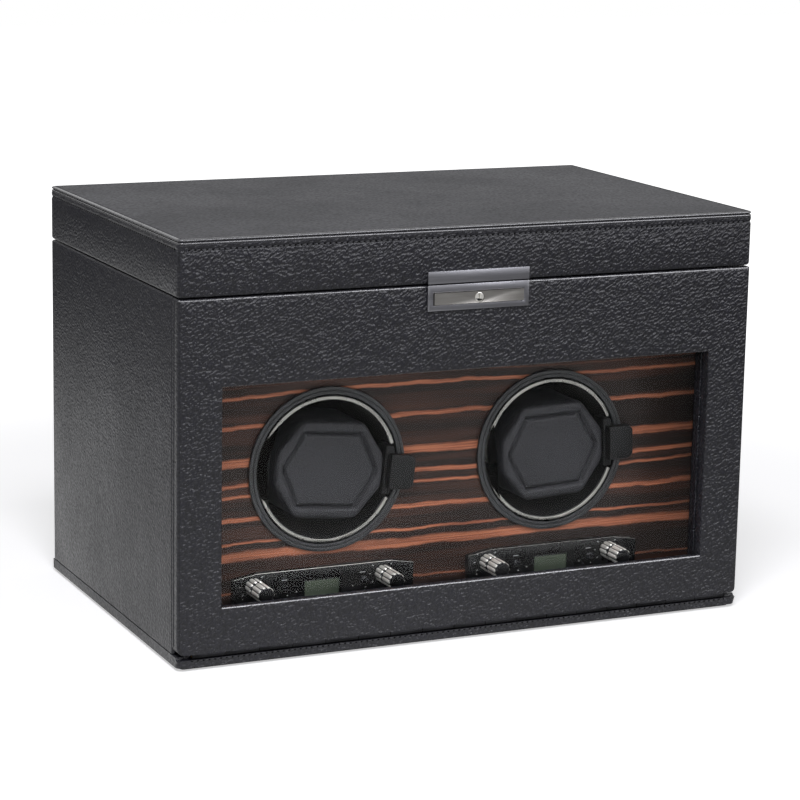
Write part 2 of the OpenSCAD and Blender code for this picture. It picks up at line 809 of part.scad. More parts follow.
module door_glass() {
    color([0.6, 0.65, 0.68, 0.25])
        block([-window_w / 2 - glass_lap, door_back_y - glass_t, window_z - glass_lap],
              [window_w / 2 + glass_lap, door_back_y, window_top + glass_lap]);
}

module glass_retainer() {
    color("#18181b") difference() {
        block([-window_w / 2 - retainer_w, door_back_y, window_z - retainer_w],
              [window_w / 2 + retainer_w, retainer_back_y, window_top + retainer_w]);
        block([-window_w / 2, door_back_y - 1, window_z],
              [window_w / 2, retainer_back_y + 1, window_top]);
    }
}

// The front plate with an opening for the bar, and the back plate in the pocket
module lock_plate() {
    open_x = bar_w / 2 + bar_clear;
    open_z = bar_h / 2 + bar_clear;
    back_plate_y = front_y + lock_pocket_d - lock_back_t;
    color("#a9abae") difference() {
        union() {
            block([-plate_w / 2, front_y - plate_t, body_top - lock_plate_h],
                  [plate_w / 2, front_y, body_top]);
            lock_pocket(0);
        }
        block([-open_x + bar_clear / 4, front_y - plate_t - 1, lock_z - open_z + bar_clear / 4],
              [open_x - bar_clear / 4, back_plate_y, lock_z + open_z - bar_clear / 4]);
        bar_y(key_r + run_clear, front_y, door_back_y, 0, lock_z);
    }
}

module push_bar() {
    y0 = front_y - plate_t - bar_proud;
    color("#b9bbbe") difference() {
        block([-bar_w / 2, y0, lock_z - bar_h / 2], [bar_w / 2, y0 + bar_t, lock_z + bar_h / 2]);
        bar_y(key_r + bar_clear / 2, y0 - 1, y0 + bar_t + 1, 0, lock_z);
    }
}

// The round key face with a slot across it
module key_cylinder() {
    y0 = front_y - plate_t - bar_proud + key_sink;
    slot_w = 0.7;
    slot_h = 1.4 * key_r;
    slot_deep = 1.5;
    color("#c9cbcd") difference() {
        bar_y(key_r, y0, cam_y, 0, lock_z);
        block([-slot_w / 2, y0 - 1, lock_z - slot_h / 2],
              [slot_w / 2, y0 + slot_deep, lock_z + slot_h / 2]);
    }
}

// A hooked arm that lies to the right when the lock is open and stands up when it is shut
module lock_cam() {
    color("#8d8f92") translate([0, 0, lock_z]) {
        block([-cam_w / 2, cam_y, -cam_w / 2], [cam_len, cam_y + cam_t, cam_w / 2]);
        block([cam_len - cam_tip_t, cam_y, cam_w / 2], [cam_len, cam_y + cam_t, cam_w / 2 + cam_tip]);
    }
}

// ---- Lid ----

module lid_frame() {
    color("#1c1d20") difference() {
        board(box_w, box_d, lid_bottom, lid_top_z, lid_corner_r);
        block([-box_w / 2 + lid_wall, front_y + lid_wall, lid_bottom - 1],
              [box_w / 2 - lid_wall, back_y - lid_wall, lid_top_z - lid_board_t]);
        for (side = [-1, 1]) translate([side * lid_hinge_x, 0, 0]) {
            bar_x(lid_knuckle_r + barrel_gap, -lid_hinge_len / 2 - barrel_gap,
                  lid_hinge_len / 2 + barrel_gap, back_y, lid_axis_z);
            block([-lid_hinge_len / 2, back_y - lid_leaf_d, lid_bottom - 1],
                  [lid_hinge_len / 2, back_y + 1, lid_bottom + lid_leaf_t]);
        }
        for (x = keeper_studs) bar_y(stud_r, front_y - 1, front_y + lid_wall + 1, x, stud_z);
    }
}

module lid_top() {
    color("#222327") board(box_w, box_d, lid_top_z, box_h, lid_corner_r);
}

module lid_liner() {
    z1 = lid_top_z - lid_board_t;
    edge = 0.5;
    color("#3a3a3e")
        block([-box_w / 2 + lid_wall + edge, front_y + lid_wall + edge, z1 - lid_liner_t],
              [box_w / 2 - lid_wall - edge, back_y - lid_wall - edge, z1]);
}

stud_r = 1.2;
stud_z = lid_bottom + keeper_plate_h / 2;
keeper_studs = [-22, -12];

// The front plate, two studs through the lid's wall, and the catch that the cam hooks over
module keeper_plate() {
    wall_in_y = front_y + lid_wall;
    catch_y = cam_y + cam_t;
    strip_t = 1.2;
    strip_end = 3;
    catch_w = 6;
    catch_x = -cam_w / 2 - cam_gap - catch_w;
    catch_h = 1.6;
    strip_z = lid_bottom + 0.2;
    color("#a9abae") {
        block([-plate_w / 2, front_y - plate_t, lid_bottom],
              [plate_w / 2, front_y, lid_bottom + keeper_plate_h]);
        for (x = keeper_studs) bar_y(stud_r, front_y - plate_t / 2, wall_in_y + strip_t / 2, x, stud_z);
        block([keeper_studs[0] - strip_end, wall_in_y, strip_z], [catch_x, wall_in_y + strip_t, keeper_z]);
        block([catch_x - strip_t, wall_in_y, keeper_z - catch_h], [catch_x + catch_w, catch_y, keeper_z]);
    }
}

// ---- Hinges ----

// Knuckles along X with every second place left out, starting at the given one
module knuckles(first, count, len, r, hole_r, y, z) {
    pitch = len / count;
    for (i = [first : 2 : count - 1]) {
        x0 = -len / 2 + i * pitch + knuckle_gap / 2;
        difference() {
            bar_x(r, x0, x0 + pitch - knuckle_gap, y, z);
            bar_x(hole_r, x0 - 1, x0 + pitch + 1, y, z);
        }
    }
}

// One flat tongue to each of the same knuckles, from the barrel out to a distance
module tongues(first, count, len, low, high) {
    pitch = len / count;
    for (i = [first : 2 : count - 1]) {
        x0 = -len / 2 + i * pitch + knuckle_gap / 2;
        block([x0, low[0], low[1]], [x0 + pitch - knuckle_gap, high[0], high[1]]);
    }
}

// Half of a lid hinge: the leaf lies in the cabinet (up = -1) or in the lid (up = 1)
module lid_leaf(first, up) {
    r = lid_knuckle_r;
    hole_r = lid_pin_r + run_clear;
    barrel = r + barrel_gap;
    z0 = up < 0 ? body_top - lid_leaf_t : lid_bottom;
    color("#b0a070") for (side = [-1, 1]) translate([side * lid_hinge_x, 0, 0]) {
        knuckles(first, lid_knuckles, lid_hinge_len, r, hole_r, back_y, lid_axis_z);
        block([-lid_hinge_len / 2, back_y - lid_leaf_d, z0],
              [lid_hinge_len / 2, back_y - barrel, z0 + lid_leaf_t]);
        tongues(first, lid_knuckles, lid_hinge_len, [back_y - barrel, z0],
                [back_y - (r + hole_r) / 2, z0 + lid_leaf_t]);
    }
}

module door_hinge_base_leaf() {
    r = door_knuckle_r;
    hole_r = door_pin_r + run_clear;
    clear_y = door_axis_y + r + barrel_gap;
    color("#3c3c3e") {
        knuckles(0, door_knuckles, door_hinge_len, r, hole_r, door_axis_y, door_axis_z);
        block([-door_hinge_len / 2, clear_y, base_top - door_leaf_t],
              [door_hinge_len / 2, door_axis_y + door_leaf_d, base_top]);
        tongues(0, door_knuckles, door_hinge_len, [door_axis_y + (r + hole_r) / 2, base_top - door_leaf_t],
                [clear_y, base_top]);
    }
}

module door_hinge_door_leaf() {
    r = door_knuckle_r;
    hole_r = door_pin_r + run_clear;
    clear_z = door_axis_z + r + barrel_gap;
    y0 = door_axis_y - door_leaf_t / 2;
    color("#3c3c3e") {
        knuckles(1, door_knuckles, door_hinge_len, r, hole_r, door_axis_y, door_axis_z);
        block([-door_hinge_len / 2, y0, clear_z],
              [door_hinge_len / 2, y0 + door_leaf_t, door_axis_z + door_leaf_d]);
        tongues(1, door_knuckles, door_hinge_len, [y0, door_axis_z + (r + hole_r) / 2],
                [y0 + door_leaf_t, clear_z]);
    }
}

module hinge_pins() {
    color("#c0b080") {
        for (side = [-1, 1]) translate([side * lid_hinge_x, 0, 0])
            bar_x(lid_pin_r, -lid_hinge_len / 2, lid_hinge_len / 2, back_y, lid_axis_z);
        bar_x(door_pin_r, -door_hinge_len / 2, door_hinge_len / 2, door_axis_y, door_axis_z);
    }
}

// ---- Power ----

module dc_jack() {
    color("#0f0f10") translate([jack_x, 0, jack_z]) {
        difference() {
            union() {
                bar_y(jack_r, back_y - jack_len, back_y);
                bar_y(jack_flange_r, back_y, back_y + jack_flange_t);
            }
            bar_y(jack_hole_r, back_y + jack_flange_t - jack_hole_d, back_y + jack_flange_t + 1);
        }
        bar_y(jack_contact_r, back_y - jack_len, back_y - 1);
    }
}

// The board stands on four feet and carries a driver chip and two connectors
module circuit_board() {
    z0 = base_top + board_foot_h;
    y1 = back_in_y - board_back;
    y0 = y1 - board_d;
    inset = 6;
    foot_r = 2.5;
    chip = [16, 16, 2];
    plug = [12, 6, 6];
    plug_y = y0 + 3;
    chip_y = plug_y + 11;
    color("#1d5a34") {
        block([-board_w / 2, y0, z0], [board_w / 2, y1, z0 + board_t]);
        for (x = [-1, 1], y = [y0 + inset, y1 - inset])
            translate([x * (board_w / 2 - inset), y, base_top]) cylinder(r = foot_r, h = board_foot_h);
        translate([-chip[0] / 2, chip_y, z0 + board_t]) cube(chip);
        for (x = [-30, 30]) translate([x - plug[0] / 2, plug_y, z0 + board_t]) cube(plug);
    }
}

base_pad();
base_panel();
side_panel(-1);  // left_side
side_panel(1);  // right_side
back_panel();
deck();
tray_rail();
storage_tray();
watch_pillows();
fascia();
dc_jack();
circuit_board();
hinge_pins();
lid_leaf(0, -1);  // lid_hinge_base_leaves
lid_leaf(1, 1);  // lid_hinge_lid_leaves
door_hinge_base_leaf();
door_hinge_door_leaf();
lid_frame();
lid_top();
lid_liner();
keeper_plate();
door_panel();
door_glass();
glass_retainer();
lock_plate();
push_bar();
key_cylinder();
lock_cam();
housing(-1);  // left_housing
housing(1);  // right_housing
bezel(-1);  // left_bezel
bezel(1);  // right_bezel
bearings();
motors();
belts();
displays();
drum(-1);  // left_drum
drum(1);  // right_drum
drum_ring(-1);  // left_drum_ring
drum_ring(1);  // right_drum_ring
drum_pulley(-1);  // left_drum_pulley
drum_pulley(1);  // right_drum_pulley
motor_pulley(-1);  // left_motor_pulley
motor_pulley(1);  // right_motor_pulley
cuff_frame(-1);  // left_cuff_frame
cuff_frame(1);  // right_cuff_frame
cuff_pad(-1);  // left_cuff_pad
cuff_pad(1);  // right_cuff_pad
lock_tab(-1);  // left_lock_tab
lock_tab(1);  // right_lock_tab
control_panel(-1);  // left_control_panel
control_panel(1);  // right_control_panel
dial(-1, -dial_left);  // left_mode_dial
dial(-1, dial_right);  // left_turns_dial
dial(1, -dial_left);  // right_mode_dial
dial(1, dial_right);  // right_turns_dial
button(-1, -button_x);  // left_set_button
button(-1, button_x);  // left_start_button
button(1, -button_x);  // right_set_button
button(1, button_x);  // right_start_button
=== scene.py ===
import math

import bpy
from mathutils import Matrix, Vector


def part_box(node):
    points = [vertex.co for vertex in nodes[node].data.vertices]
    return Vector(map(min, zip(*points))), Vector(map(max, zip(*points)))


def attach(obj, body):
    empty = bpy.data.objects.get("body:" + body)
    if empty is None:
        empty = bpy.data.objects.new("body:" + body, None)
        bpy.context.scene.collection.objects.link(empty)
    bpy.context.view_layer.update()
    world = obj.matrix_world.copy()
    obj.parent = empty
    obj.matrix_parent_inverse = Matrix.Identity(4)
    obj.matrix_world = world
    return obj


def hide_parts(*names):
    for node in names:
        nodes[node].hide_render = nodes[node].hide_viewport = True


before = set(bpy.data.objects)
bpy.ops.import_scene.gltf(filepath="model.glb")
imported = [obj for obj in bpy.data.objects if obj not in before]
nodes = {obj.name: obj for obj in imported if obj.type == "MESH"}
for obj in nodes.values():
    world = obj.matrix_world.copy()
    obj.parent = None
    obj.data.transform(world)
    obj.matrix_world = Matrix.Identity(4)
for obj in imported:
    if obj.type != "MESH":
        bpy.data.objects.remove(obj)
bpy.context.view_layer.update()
mm = 0.001
halfX, halfY = 168.0, 105.0  # of the whole box
sides = ((-1, "left"), (1, "right"))


# small helpers for picking, cutting and finishing

def deselect():
    bpy.ops.object.select_all(action="DESELECT")


def activate(piece):
    deselect()
    piece.hide_set(False)
    piece.select_set(True)
    bpy.context.view_layer.objects.active = piece


def named(name):
    piece = bpy.context.object
    piece.name = name
    piece.data.name = name
    return piece


def settled(name):
    bpy.ops.object.transform_apply(location=True, rotation=True, scale=True)
    return named(name)


def addBlock(name, low, high):
    # a box between two corners in millimetres
    deselect()
    bpy.ops.mesh.primitive_cube_add(size=1, location=[(a + b) / 2 * mm for a, b in zip(low, high)])
    bpy.context.object.scale = [(b - a) * mm for a, b in zip(low, high)]
    return settled(name)


def addRod(name, radius, low, high, axis="Y", sides=48, at=(0, 0)):
    # a round bar along X or Y; at gives its place across that axis
    deselect()
    middle = (low + high) / 2
    spot, turn = {"X": ((middle, at[0], at[1]), (0, math.pi / 2, 0)),
                  "Y": ((at[0], middle, at[1]), (math.pi / 2, 0, 0))}[axis]
    bpy.ops.mesh.primitive_cylinder_add(vertices=sides, radius=radius * mm, depth=(high - low) * mm,
                                        location=[c * mm for c in spot], rotation=turn)
    return settled(name)


def pick(piece, kind, chosen):
    # selects the chosen edges or faces and nothing else, and leaves the piece in edit mode
    activate(piece)
    bpy.context.tool_settings.mesh_select_mode = (False, kind == "edges", kind == "polygons")
    for each in ("vertices", "edges", "polygons"):
        items = getattr(piece.data, each)
        items.foreach_set("select", chosen if each == kind else [False] * len(items))
    bpy.ops.object.mode_set(mode="EDIT")


def editFaces(piece, test):
    # test takes a face's middle in millimetres and its normal
    pick(piece, "polygons", [bool(test(f.center / mm, f.normal)) for f in piece.data.polygons])


def editEdges(piece, test):
    # test takes an edge's two ends in millimetres
    spots = [v.co / mm for v in piece.data.vertices]
    pick(piece, "edges", [bool(test(*(spots[i] for i in e.vertices))) for e in piece.data.edges])


def editAll(piece):
    activate(piece)
    bpy.ops.object.mode_set(mode="EDIT")
    bpy.ops.mesh.select_all(action="SELECT")


def leaveEdit():
    bpy.ops.object.mode_set(mode="OBJECT")


def bevelEdges(piece, offset, segments, test):
    editEdges(piece, test)
    bpy.ops.mesh.bevel(offset=offset * mm, segments=segments, affect="EDGES")
    leaveEdit()


def slices(piece, axis, places):
    # cuts the whole piece at each place along an axis
    normal = Vector([float(letter == axis) for letter in "XYZ"])
    editAll(piece)
    for place in places:
        bpy.ops.mesh.select_all(action="SELECT")
        bpy.ops.mesh.bisect(plane_co=normal * (place * mm), plane_no=normal)
    leaveEdit()


def moveVertices(piece, move):
    # move takes a place in millimetres and gives the new one
    for v in piece.data.vertices:
        v.co = Vector(move(v.co / mm)) * mm
    piece.data.update()


def shift(piece, place):
    piece.data.transform(Matrix.Translation(Vector(place) * mm))


def turn(piece, angle, axis="Y"):
    piece.data.transform(Matrix.Rotation(angle, 4, axis))


def discard(*pieces):
    for piece in pieces:
        bpy.data.objects.remove(piece, do_unlink=True)


def modify(piece, kind, **settings):
    activate(piece)
    modifier = piece.modifiers.new(kind.title(), kind)
    for key, value in settings.items():
        setattr(modifier, key, value)
    bpy.ops.object.modifier_apply(modifier=modifier.name)


def cutAway(piece, cutters):
    for cutter in cutters:
        modify(piece, "BOOLEAN", operation="DIFFERENCE", object=cutter, solver="EXACT")
    discard(*cutters)


def smooth(piece, angle=35):
    activate(piece)
    bpy.ops.object.shade_smooth_by_angle(angle=math.radians(angle))


def roundEdges(piece, width, segments=3, angle=30):
    modify(piece, "BEVEL", width=width * mm, segments=segments, limit_method="ANGLE",
           angle_limit=math.radians(angle), use_clamp_overlap=True)


def joinPieces(name, pieces):
    activate(pieces[0])
    for piece in pieces:
        piece.select_set(True)
    bpy.ops.object.join()
    return named(name)


def copyPiece(piece, name):
    copy = piece.copy()
    copy.data = piece.data.copy()
    copy.name = name
    copy.data.name = name
    bpy.context.scene.collection.objects.link(copy)
    return copy


def nodeCopy(node, name, width, segments=2):
    # a node's own solid, merged, with its sharp edges rounded
    mesh = nodes[node].data.copy()
    mesh.materials.clear()
    piece = bpy.data.objects.new(name, mesh)
    mesh.name = name
    bpy.context.scene.collection.objects.link(piece)
    editAll(piece)
    bpy.ops.mesh.customdata_custom_splitnormals_clear()
    bpy.ops.mesh.remove_doubles(threshold=2e-6)
    bpy.ops.mesh.dissolve_limited(angle_limit=math.radians(0.8))
    leaveEdit()
    if width:
        roundEdges(piece, width, segments)
    smooth(piece)
    return piece


def paint(piece, *materials):
    piece.data.materials.clear()
    for material in materials:
        piece.data.materials.append(material)


def twoTone(piece, first, second, test):
    # a second material on the faces that pass the test
    paint(piece, first, second)
    for face in piece.data.polygons:
        face.material_index = int(bool(test(face.center / mm, face.normal)))


def dress(piece, material, body, slot, *replaced):
    if material is not None:
        paint(piece, material)
    if replaced:
        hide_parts(*replaced)
    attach(piece, body)


def dressNodes(segments, *rows):
    # a dressed copy of each node, as (node, name, material, width of its rounded edges, body, slot)
    for node, name, material, width, body, slot in rows:
        dress(nodeCopy(node, name, width, segments), material, body, slot, node)


# the camera, first of all

cameraView = {"spot": (-0.63369, -1.37347, 0.43567), "azimuth": -24.926, "elevation": 12.127,
              "roll": 1.086, "lens": 122.61}


def addCamera():
    az, el, roll = (math.radians(cameraView[k]) for k in ("azimuth", "elevation", "roll"))
    data = bpy.data.cameras.new("camera")
    data.lens = cameraView["lens"]
    data.sensor_width = 36
    camera = bpy.data.objects.new("camera", data)
    camera.matrix_world = (Matrix.Translation(cameraView["spot"]) @ Matrix.Rotation(az, 4, "Z")
                           @ Matrix.Rotation(math.pi / 2 - el, 4, "X") @ Matrix.Rotation(roll, 4, "Z"))
    bpy.context.scene.collection.objects.link(camera)
    bpy.context.scene.camera = camera


addCamera()
print("camera set")


# node groups and materials

class Nodes:
    # a thin wrapper that adds and joins shader nodes

    def __init__(self, tree):
        self.tree = tree

    def add(self, kind, **settings):
        node = self.tree.nodes.new(kind)
        for key, value in settings.items():
            setattr(node, key, value)
        return node

    def put(self, socket, value):
        if isinstance(value, bpy.types.NodeSocket):
            self.tree.links.new(value, socket)
        elif value is not None:
            socket.default_value = value

    def fill(self, node, **values):
        for label, value in values.items():
            self.put(node.inputs[label], value)

    def math(self, operation, a, b=None):
        node = self.add("ShaderNodeMath", operation=operation)
        self.put(node.inputs[0], a)
        self.put(node.inputs[1], b)
        return node.outputs[0]

    def plus(self, a, b):
        return self.math("ADD", a, b)

    def minus(self, a, b):
        return self.math("SUBTRACT", a, b)

    def times(self, a, b):
        return self.math("MULTIPLY", a, b)

    def noise(self, vector, scale, detail=2.0, rough=0.5):
        node = self.add("ShaderNodeTexNoise")
        self.fill(node, Vector=vector, Scale=scale, Detail=detail, Roughness=rough)
        return node.outputs["Fac"]

    def spread(self, value, low, high, newLow=0.0, newHigh=1.0):
        node = self.add("ShaderNodeMapRange", interpolation_type="SMOOTHSTEP")
        for key, number in (("Value", value), ("From Min", low), ("From Max", high),
                            ("To Min", newLow), ("To Max", newHigh)):
            self.put(node.inputs[key], number)
        return node.outputs["Result"]

    def mix(self, factor, a, b):
        node = self.add("ShaderNodeMix", data_type="RGBA")
        self.put(node.inputs[0], factor)
        self.put(node.inputs[6], a)
        self.put(node.inputs[7], b)
        return node.outputs[2]

    def stretch(self, vector, scale, place=(0, 0, 0)):
        node = self.add("ShaderNodeMapping")
        self.fill(node, Vector=vector, Scale=scale, Location=place)
        return node.outputs["Vector"]

    def drawn(self, vector, scale, detail=2.0, rough=0.5):
        # noise drawn out by a scale of its own along each axis
        return self.noise(self.stretch(vector, scale), 1.0, detail, rough)

    def split(self, vector):
        node = self.add("ShaderNodeSeparateXYZ")
        self.put(node.inputs[0], vector)
        return node.outputs


def newGroup(name, outputs, **numbers):
    # a group that takes a place and numbers and puts out values
    tree = bpy.data.node_groups.new(name, "ShaderNodeTree")
    tree.interface.new_socket(name="Vector", in_out="INPUT", socket_type="NodeSocketVector")
    for label, value in numbers.items():
        tree.interface.new_socket(name=label, in_out="INPUT", socket_type="NodeSocketFloat").default_value = value
    for label in outputs:
        tree.interface.new_socket(name=label, in_out="OUTPUT", socket_type="NodeSocketFloat")
    w = Nodes(tree)
    return tree, w, w.add("NodeGroupInput").outputs, w.add("NodeGroupOutput").inputs


def makePebble():
    # tumbled leather grain: short slanted wrinkles that wander, over a broad swell
    tree, w, given, made = newGroup("pebbleGrain", ("Height", "CreaseShade"), Cells=700.0)
    drift = w.add("ShaderNodeTexNoise")
    w.fill(drift, Vector=given["Vector"], Scale=150.0)
    warped = w.add("ShaderNodeVectorMath", operation="MULTIPLY_ADD")
    for socket, value in zip(warped.inputs, (drift.outputs["Color"], (0.0024, 0.0024, 0.0024), given["Vector"])):
        w.put(socket, value)
    ridges = []
    for lean, pull, share in (((0, -0.5, 0.35), 1.9, 1.0), ((0, -0.9, -0.5), 1.5, 1.35)):
        along = w.add("ShaderNodeMapping", vector_type="TEXTURE")
        w.fill(along, Vector=warped.outputs[0], Rotation=lean, Scale=(pull, 1, 1))
        ridges.append(w.noise(along.outputs["Vector"], w.times(given["Cells"], share), 0.4, 0.4))
    height = w.plus(ridges[0], w.times(ridges[1], 0.55))
    w.put(made["Height"], w.plus(height, w.times(w.noise(given["Vector"], 130.0), 0.8)))
    # CreaseShade marks the hollows between wrinkles; the leathers darken their colour there as painted shade
    w.put(made["CreaseShade"], w.minus(1.0, w.spread(ridges[0], 0.3, 0.62)))
    return tree


def makeHandling():
    # soft cloudy rubs with fine specks of dust
    tree, w, given, made = newGroup("handling", ("Rub", "Dust"), Cloud=14.0)
    cloud = w.noise(given["Vector"], given["Cloud"], 4.0, 0.6)
    speck = w.noise(given["Vector"], 900.0, 2.0, 0.7)
    w.put(made["Rub"], w.spread(cloud, 0.3, 0.72))
    w.put(made["Dust"], w.times(w.spread(speck, 0.66, 0.8), cloud))
    return tree


def makeBrush():
    # fine brushed lines along X
    tree, w, given, made = newGroup("brushLines", ("Height", "Shade"))
    lines = w.drawn(given["Vector"], (60, 3200, 3200), 4.0, 0.65)
    bands = w.drawn(given["Vector"], (14, 700, 700))
    w.put(made["Height"], lines)
    w.put(made["Shade"], w.plus(w.times(lines, 0.6), w.times(bands, 0.4)))
    return tree


def makeNap():
    # short brushed pile that catches light in patches
    tree, w, given, made = newGroup("suedeNap", ("Height", "Shade"), Pile=2200.0)
    pile = w.noise(given["Vector"], given["Pile"], 3.0, 0.7)
    patch = w.drawn(given["Vector"], (30, 18, 18), 3.0, 0.55)
    w.put(made["Height"], pile)
    w.put(made["Shade"], w.plus(w.times(pile, 0.45), w.times(w.spread(patch, 0.35, 0.68), 0.55)))
    return tree


pebbleGrain = makePebble()
handling = makeHandling()
brushLines = makeBrush()
suedeNap = makeNap()


shaderLabels = {"color": "Base Color", "rough": "Roughness", "metal": "Metallic", "ior": "IOR",
                "specular": "Specular IOR Level", "sheen": "Sheen Weight", "sheenRough": "Sheen Roughness",
                "alpha": "Alpha", "through": "Transmission Weight", "glow": "Emission Color",
                "glowStrength": "Emission Strength"}


class Finish:
    # one material: its Principled shader, Object coordinates and the groups it uses

    def __init__(self, name):
        self.material = bpy.data.materials.new(name)
        self.material.use_nodes = True
        self.w = Nodes(self.material.node_tree)
        self.shader = self.material.node_tree.nodes["Principled BSDF"]
        self.place = self.w.add("ShaderNodeTexCoord").outputs["Object"]

    def set(self, **values):
        for key, value in values.items():
            if isinstance(value, tuple) and len(value) == 3:
                value = (*value, 1)
            self.w.put(self.shader.inputs[shaderLabels[key]], value)

    def group(self, tree, **values):
        node = self.w.add("ShaderNodeGroup", node_tree=tree)
        self.w.fill(node, Vector=self.place, **values)
        return node.outputs

    def bump(self, height, strength, distance):
        node = self.w.add("ShaderNodeBump")
        self.w.fill(node, Strength=strength, Distance=distance * mm, Height=height)
        self.w.put(self.shader.inputs["Normal"], node.outputs["Normal"])


def rgb(r, g, b):
    # screen values 0 to 255 as a linear colour
    def line(v):
        v /= 255
        return v / 12.92 if v <= 0.04045 else ((v + 0.055) / 1.055) ** 2.4
    return (line(r), line(g), line(b), 1)


leatherLook = {"dark": (13, 13, 16), "light": (31, 31, 38), "cells": 800.0, "bump": 1.0, "deep": 0.9,
               "roughLow": 0.38, "roughHigh": 0.46, "specular": 0.34, "flatFrom": 222.6, "flatBy": 0.8,
               "duller": 0.22, "sideFrom": 166.5, "sideGrain": 0.45}


def makeLeather(name, look):
    f = Finish(name)
    w = f.w
    grain = f.group(pebbleGrain, Cells=look["cells"])
    wear = f.group(handling)
    dark = rgb(*look["dark"])
    # the grain's creases are darkened towards the dark tone: painted shade
    tone = w.mix(w.times(grain["CreaseShade"], 0.7), rgb(*look["light"]), dark)
    tone = w.mix(w.times(wear["Rub"], 0.35), tone, dark)
    tone = w.mix(w.times(wear["Dust"], 0.12), tone, rgb(120, 120, 118))
    rough = w.plus(look["roughLow"], w.times(wear["Rub"], look["roughHigh"] - look["roughLow"]))
    rough = w.plus(rough, w.times(grain["CreaseShade"], 0.1))
    # leather drawn tight over the top and the sides is smoother, and the top is duller
    x, y, z = w.split(f.place)
    flat, side = look["flatFrom"] * mm, look["sideFrom"] * mm
    tight = w.spread(z, flat, flat + 0.0007, 1.0, 1 - look["flatBy"])
    rough = w.plus(rough, w.times(w.minus(1.0, tight), look["duller"]))
    tight = w.times(tight, w.spread(w.math("ABSOLUTE", x), side, side + 0.001, 1.0, look["sideGrain"]))
    f.set(color=tone, rough=rough, specular=look["specular"])
    f.bump(w.times(grain["Height"], tight), look["bump"], look["deep"])
    return f.material


leather = makeLeather("boxLeather", leatherLook)
# a lighter, glossier copy of the leather for the lid's piping bead and the door's edges: its lighter colour is a
# painted highlight
edgeHighlight = makeLeather("edgeLeatherHighlight", {**leatherLook, "light": (48, 48, 54), "deep": 0.15, "roughLow": 0.2,
                                       "roughHigh": 0.28, "specular": 1.0, "duller": 0.0, "flatBy": 0.9})
cuffLeather = makeLeather("cuffLeather", {**leatherLook, "dark": (26, 26, 28), "light": (44, 44, 48), "cells": 1200.0,
                                          "deep": 0.3, "specular": 0.24, "roughLow": 0.44, "roughHigh": 0.56})


def makeSuede(name, dark, light, pile=2200.0, sheen=0.25):
    f = Finish(name)
    w = f.w
    nap = f.group(suedeNap, Pile=pile)
    wear = f.group(handling, Cloud=22.0)
    tone = w.mix(nap["Shade"], rgb(*dark), rgb(*light))
    f.set(color=w.mix(w.times(wear["Dust"], 0.15), tone, rgb(110, 110, 108)),
          rough=w.plus(0.86, w.times(wear["Rub"], 0.1)), specular=0.2, sheen=sheen, sheenRough=0.45)
    f.bump(nap["Height"], 0.5, 0.12)
    return f.material


lining = makeSuede("trayLining", (46, 46, 50), (84, 84, 90))
baySuede = makeSuede("bayLining", (16, 16, 18), (34, 34, 37))
felt = makeSuede("baseFelt", (9, 9, 10), (20, 20, 22), 1300.0)
flock = makeSuede("drumFlock", (5, 5, 6), (12, 12, 13), 2600.0, 0.04)


def makePlastic(name, dark, light, rough, bump=0.15, specular=0.4):
    f = Finish(name)
    w = f.w
    wear = f.group(handling, Cloud=30.0)
    tone = w.mix(wear["Rub"], rgb(*dark), rgb(*light))
    f.set(color=w.mix(w.times(wear["Dust"], 0.25), tone, rgb(130, 130, 128)),
          rough=w.plus(rough, w.times(wear["Rub"], rough * 0.3)), specular=specular)
    f.bump(w.noise(f.place, 1800.0, 2.0, 0.6), bump, 0.05)
    return f.material


satinBlack = makePlastic("satinBlack", (8, 8, 9), (15, 15, 16), 0.5, 0.3, 0.22)
bezelBlack = makePlastic("bezelBlack", (28, 29, 31), (40, 41, 44), 0.38, 0.15)
glossBlack = makePlastic("glossBlack", (8, 8, 9), (13, 13, 14), 0.24, 0.0, 0.3)
buttonBlack = makePlastic("buttonBlack", (20, 20, 22), (34, 34, 37), 0.22, 0.05, 0.5)
pulleyWhite = makePlastic("pulleyAcetal", (205, 204, 196), (224, 223, 216), 0.45, 0.1)
beltRubber = makePlastic("beltRubber", (22, 22, 22), (38, 38, 38), 0.7, 0.4)
boardGreen = makePlastic("boardGreen", (18, 70, 38), (28, 96, 52), 0.35, 0.1)
threadBlack = makePlastic("stitchThread", (34, 34, 37), (58, 58, 62), 0.6, 0.5)
threadGrey = makePlastic("cuffThread", (104, 104, 108), (134, 134, 138), 0.6, 0.3)
# near-black for the needle holes: painted shade in the holes
holeShade = makePlastic("needleHoleShade", (4, 4, 4), (8, 8, 9), 0.9, 0.1, 0.1)
markWhite = makePlastic("panelMarks", (150, 152, 152), (190, 192, 192), 0.5, 0.05)


def makeMetal(name, dark, light, rough, brushed=False, bump=0.02, metal=1.0):
    f = Finish(name)
    w = f.w
    wear = f.group(handling, Cloud=40.0)
    if brushed:
        lines = f.group(brushLines)
        shade, height = lines["Shade"], lines["Height"]
    else:
        shade, height = wear["Rub"], w.noise(f.place, 700.0, 2.0, 0.6)
    tone = w.mix(shade, rgb(*dark), rgb(*light))
    f.set(color=w.mix(w.times(wear["Dust"], 0.3), tone, rgb(70, 68, 64)), metal=metal,
          rough=w.plus(rough, w.times(shade, rough * 0.5)))
    f.bump(height, bump, 0.03)
    return f.material


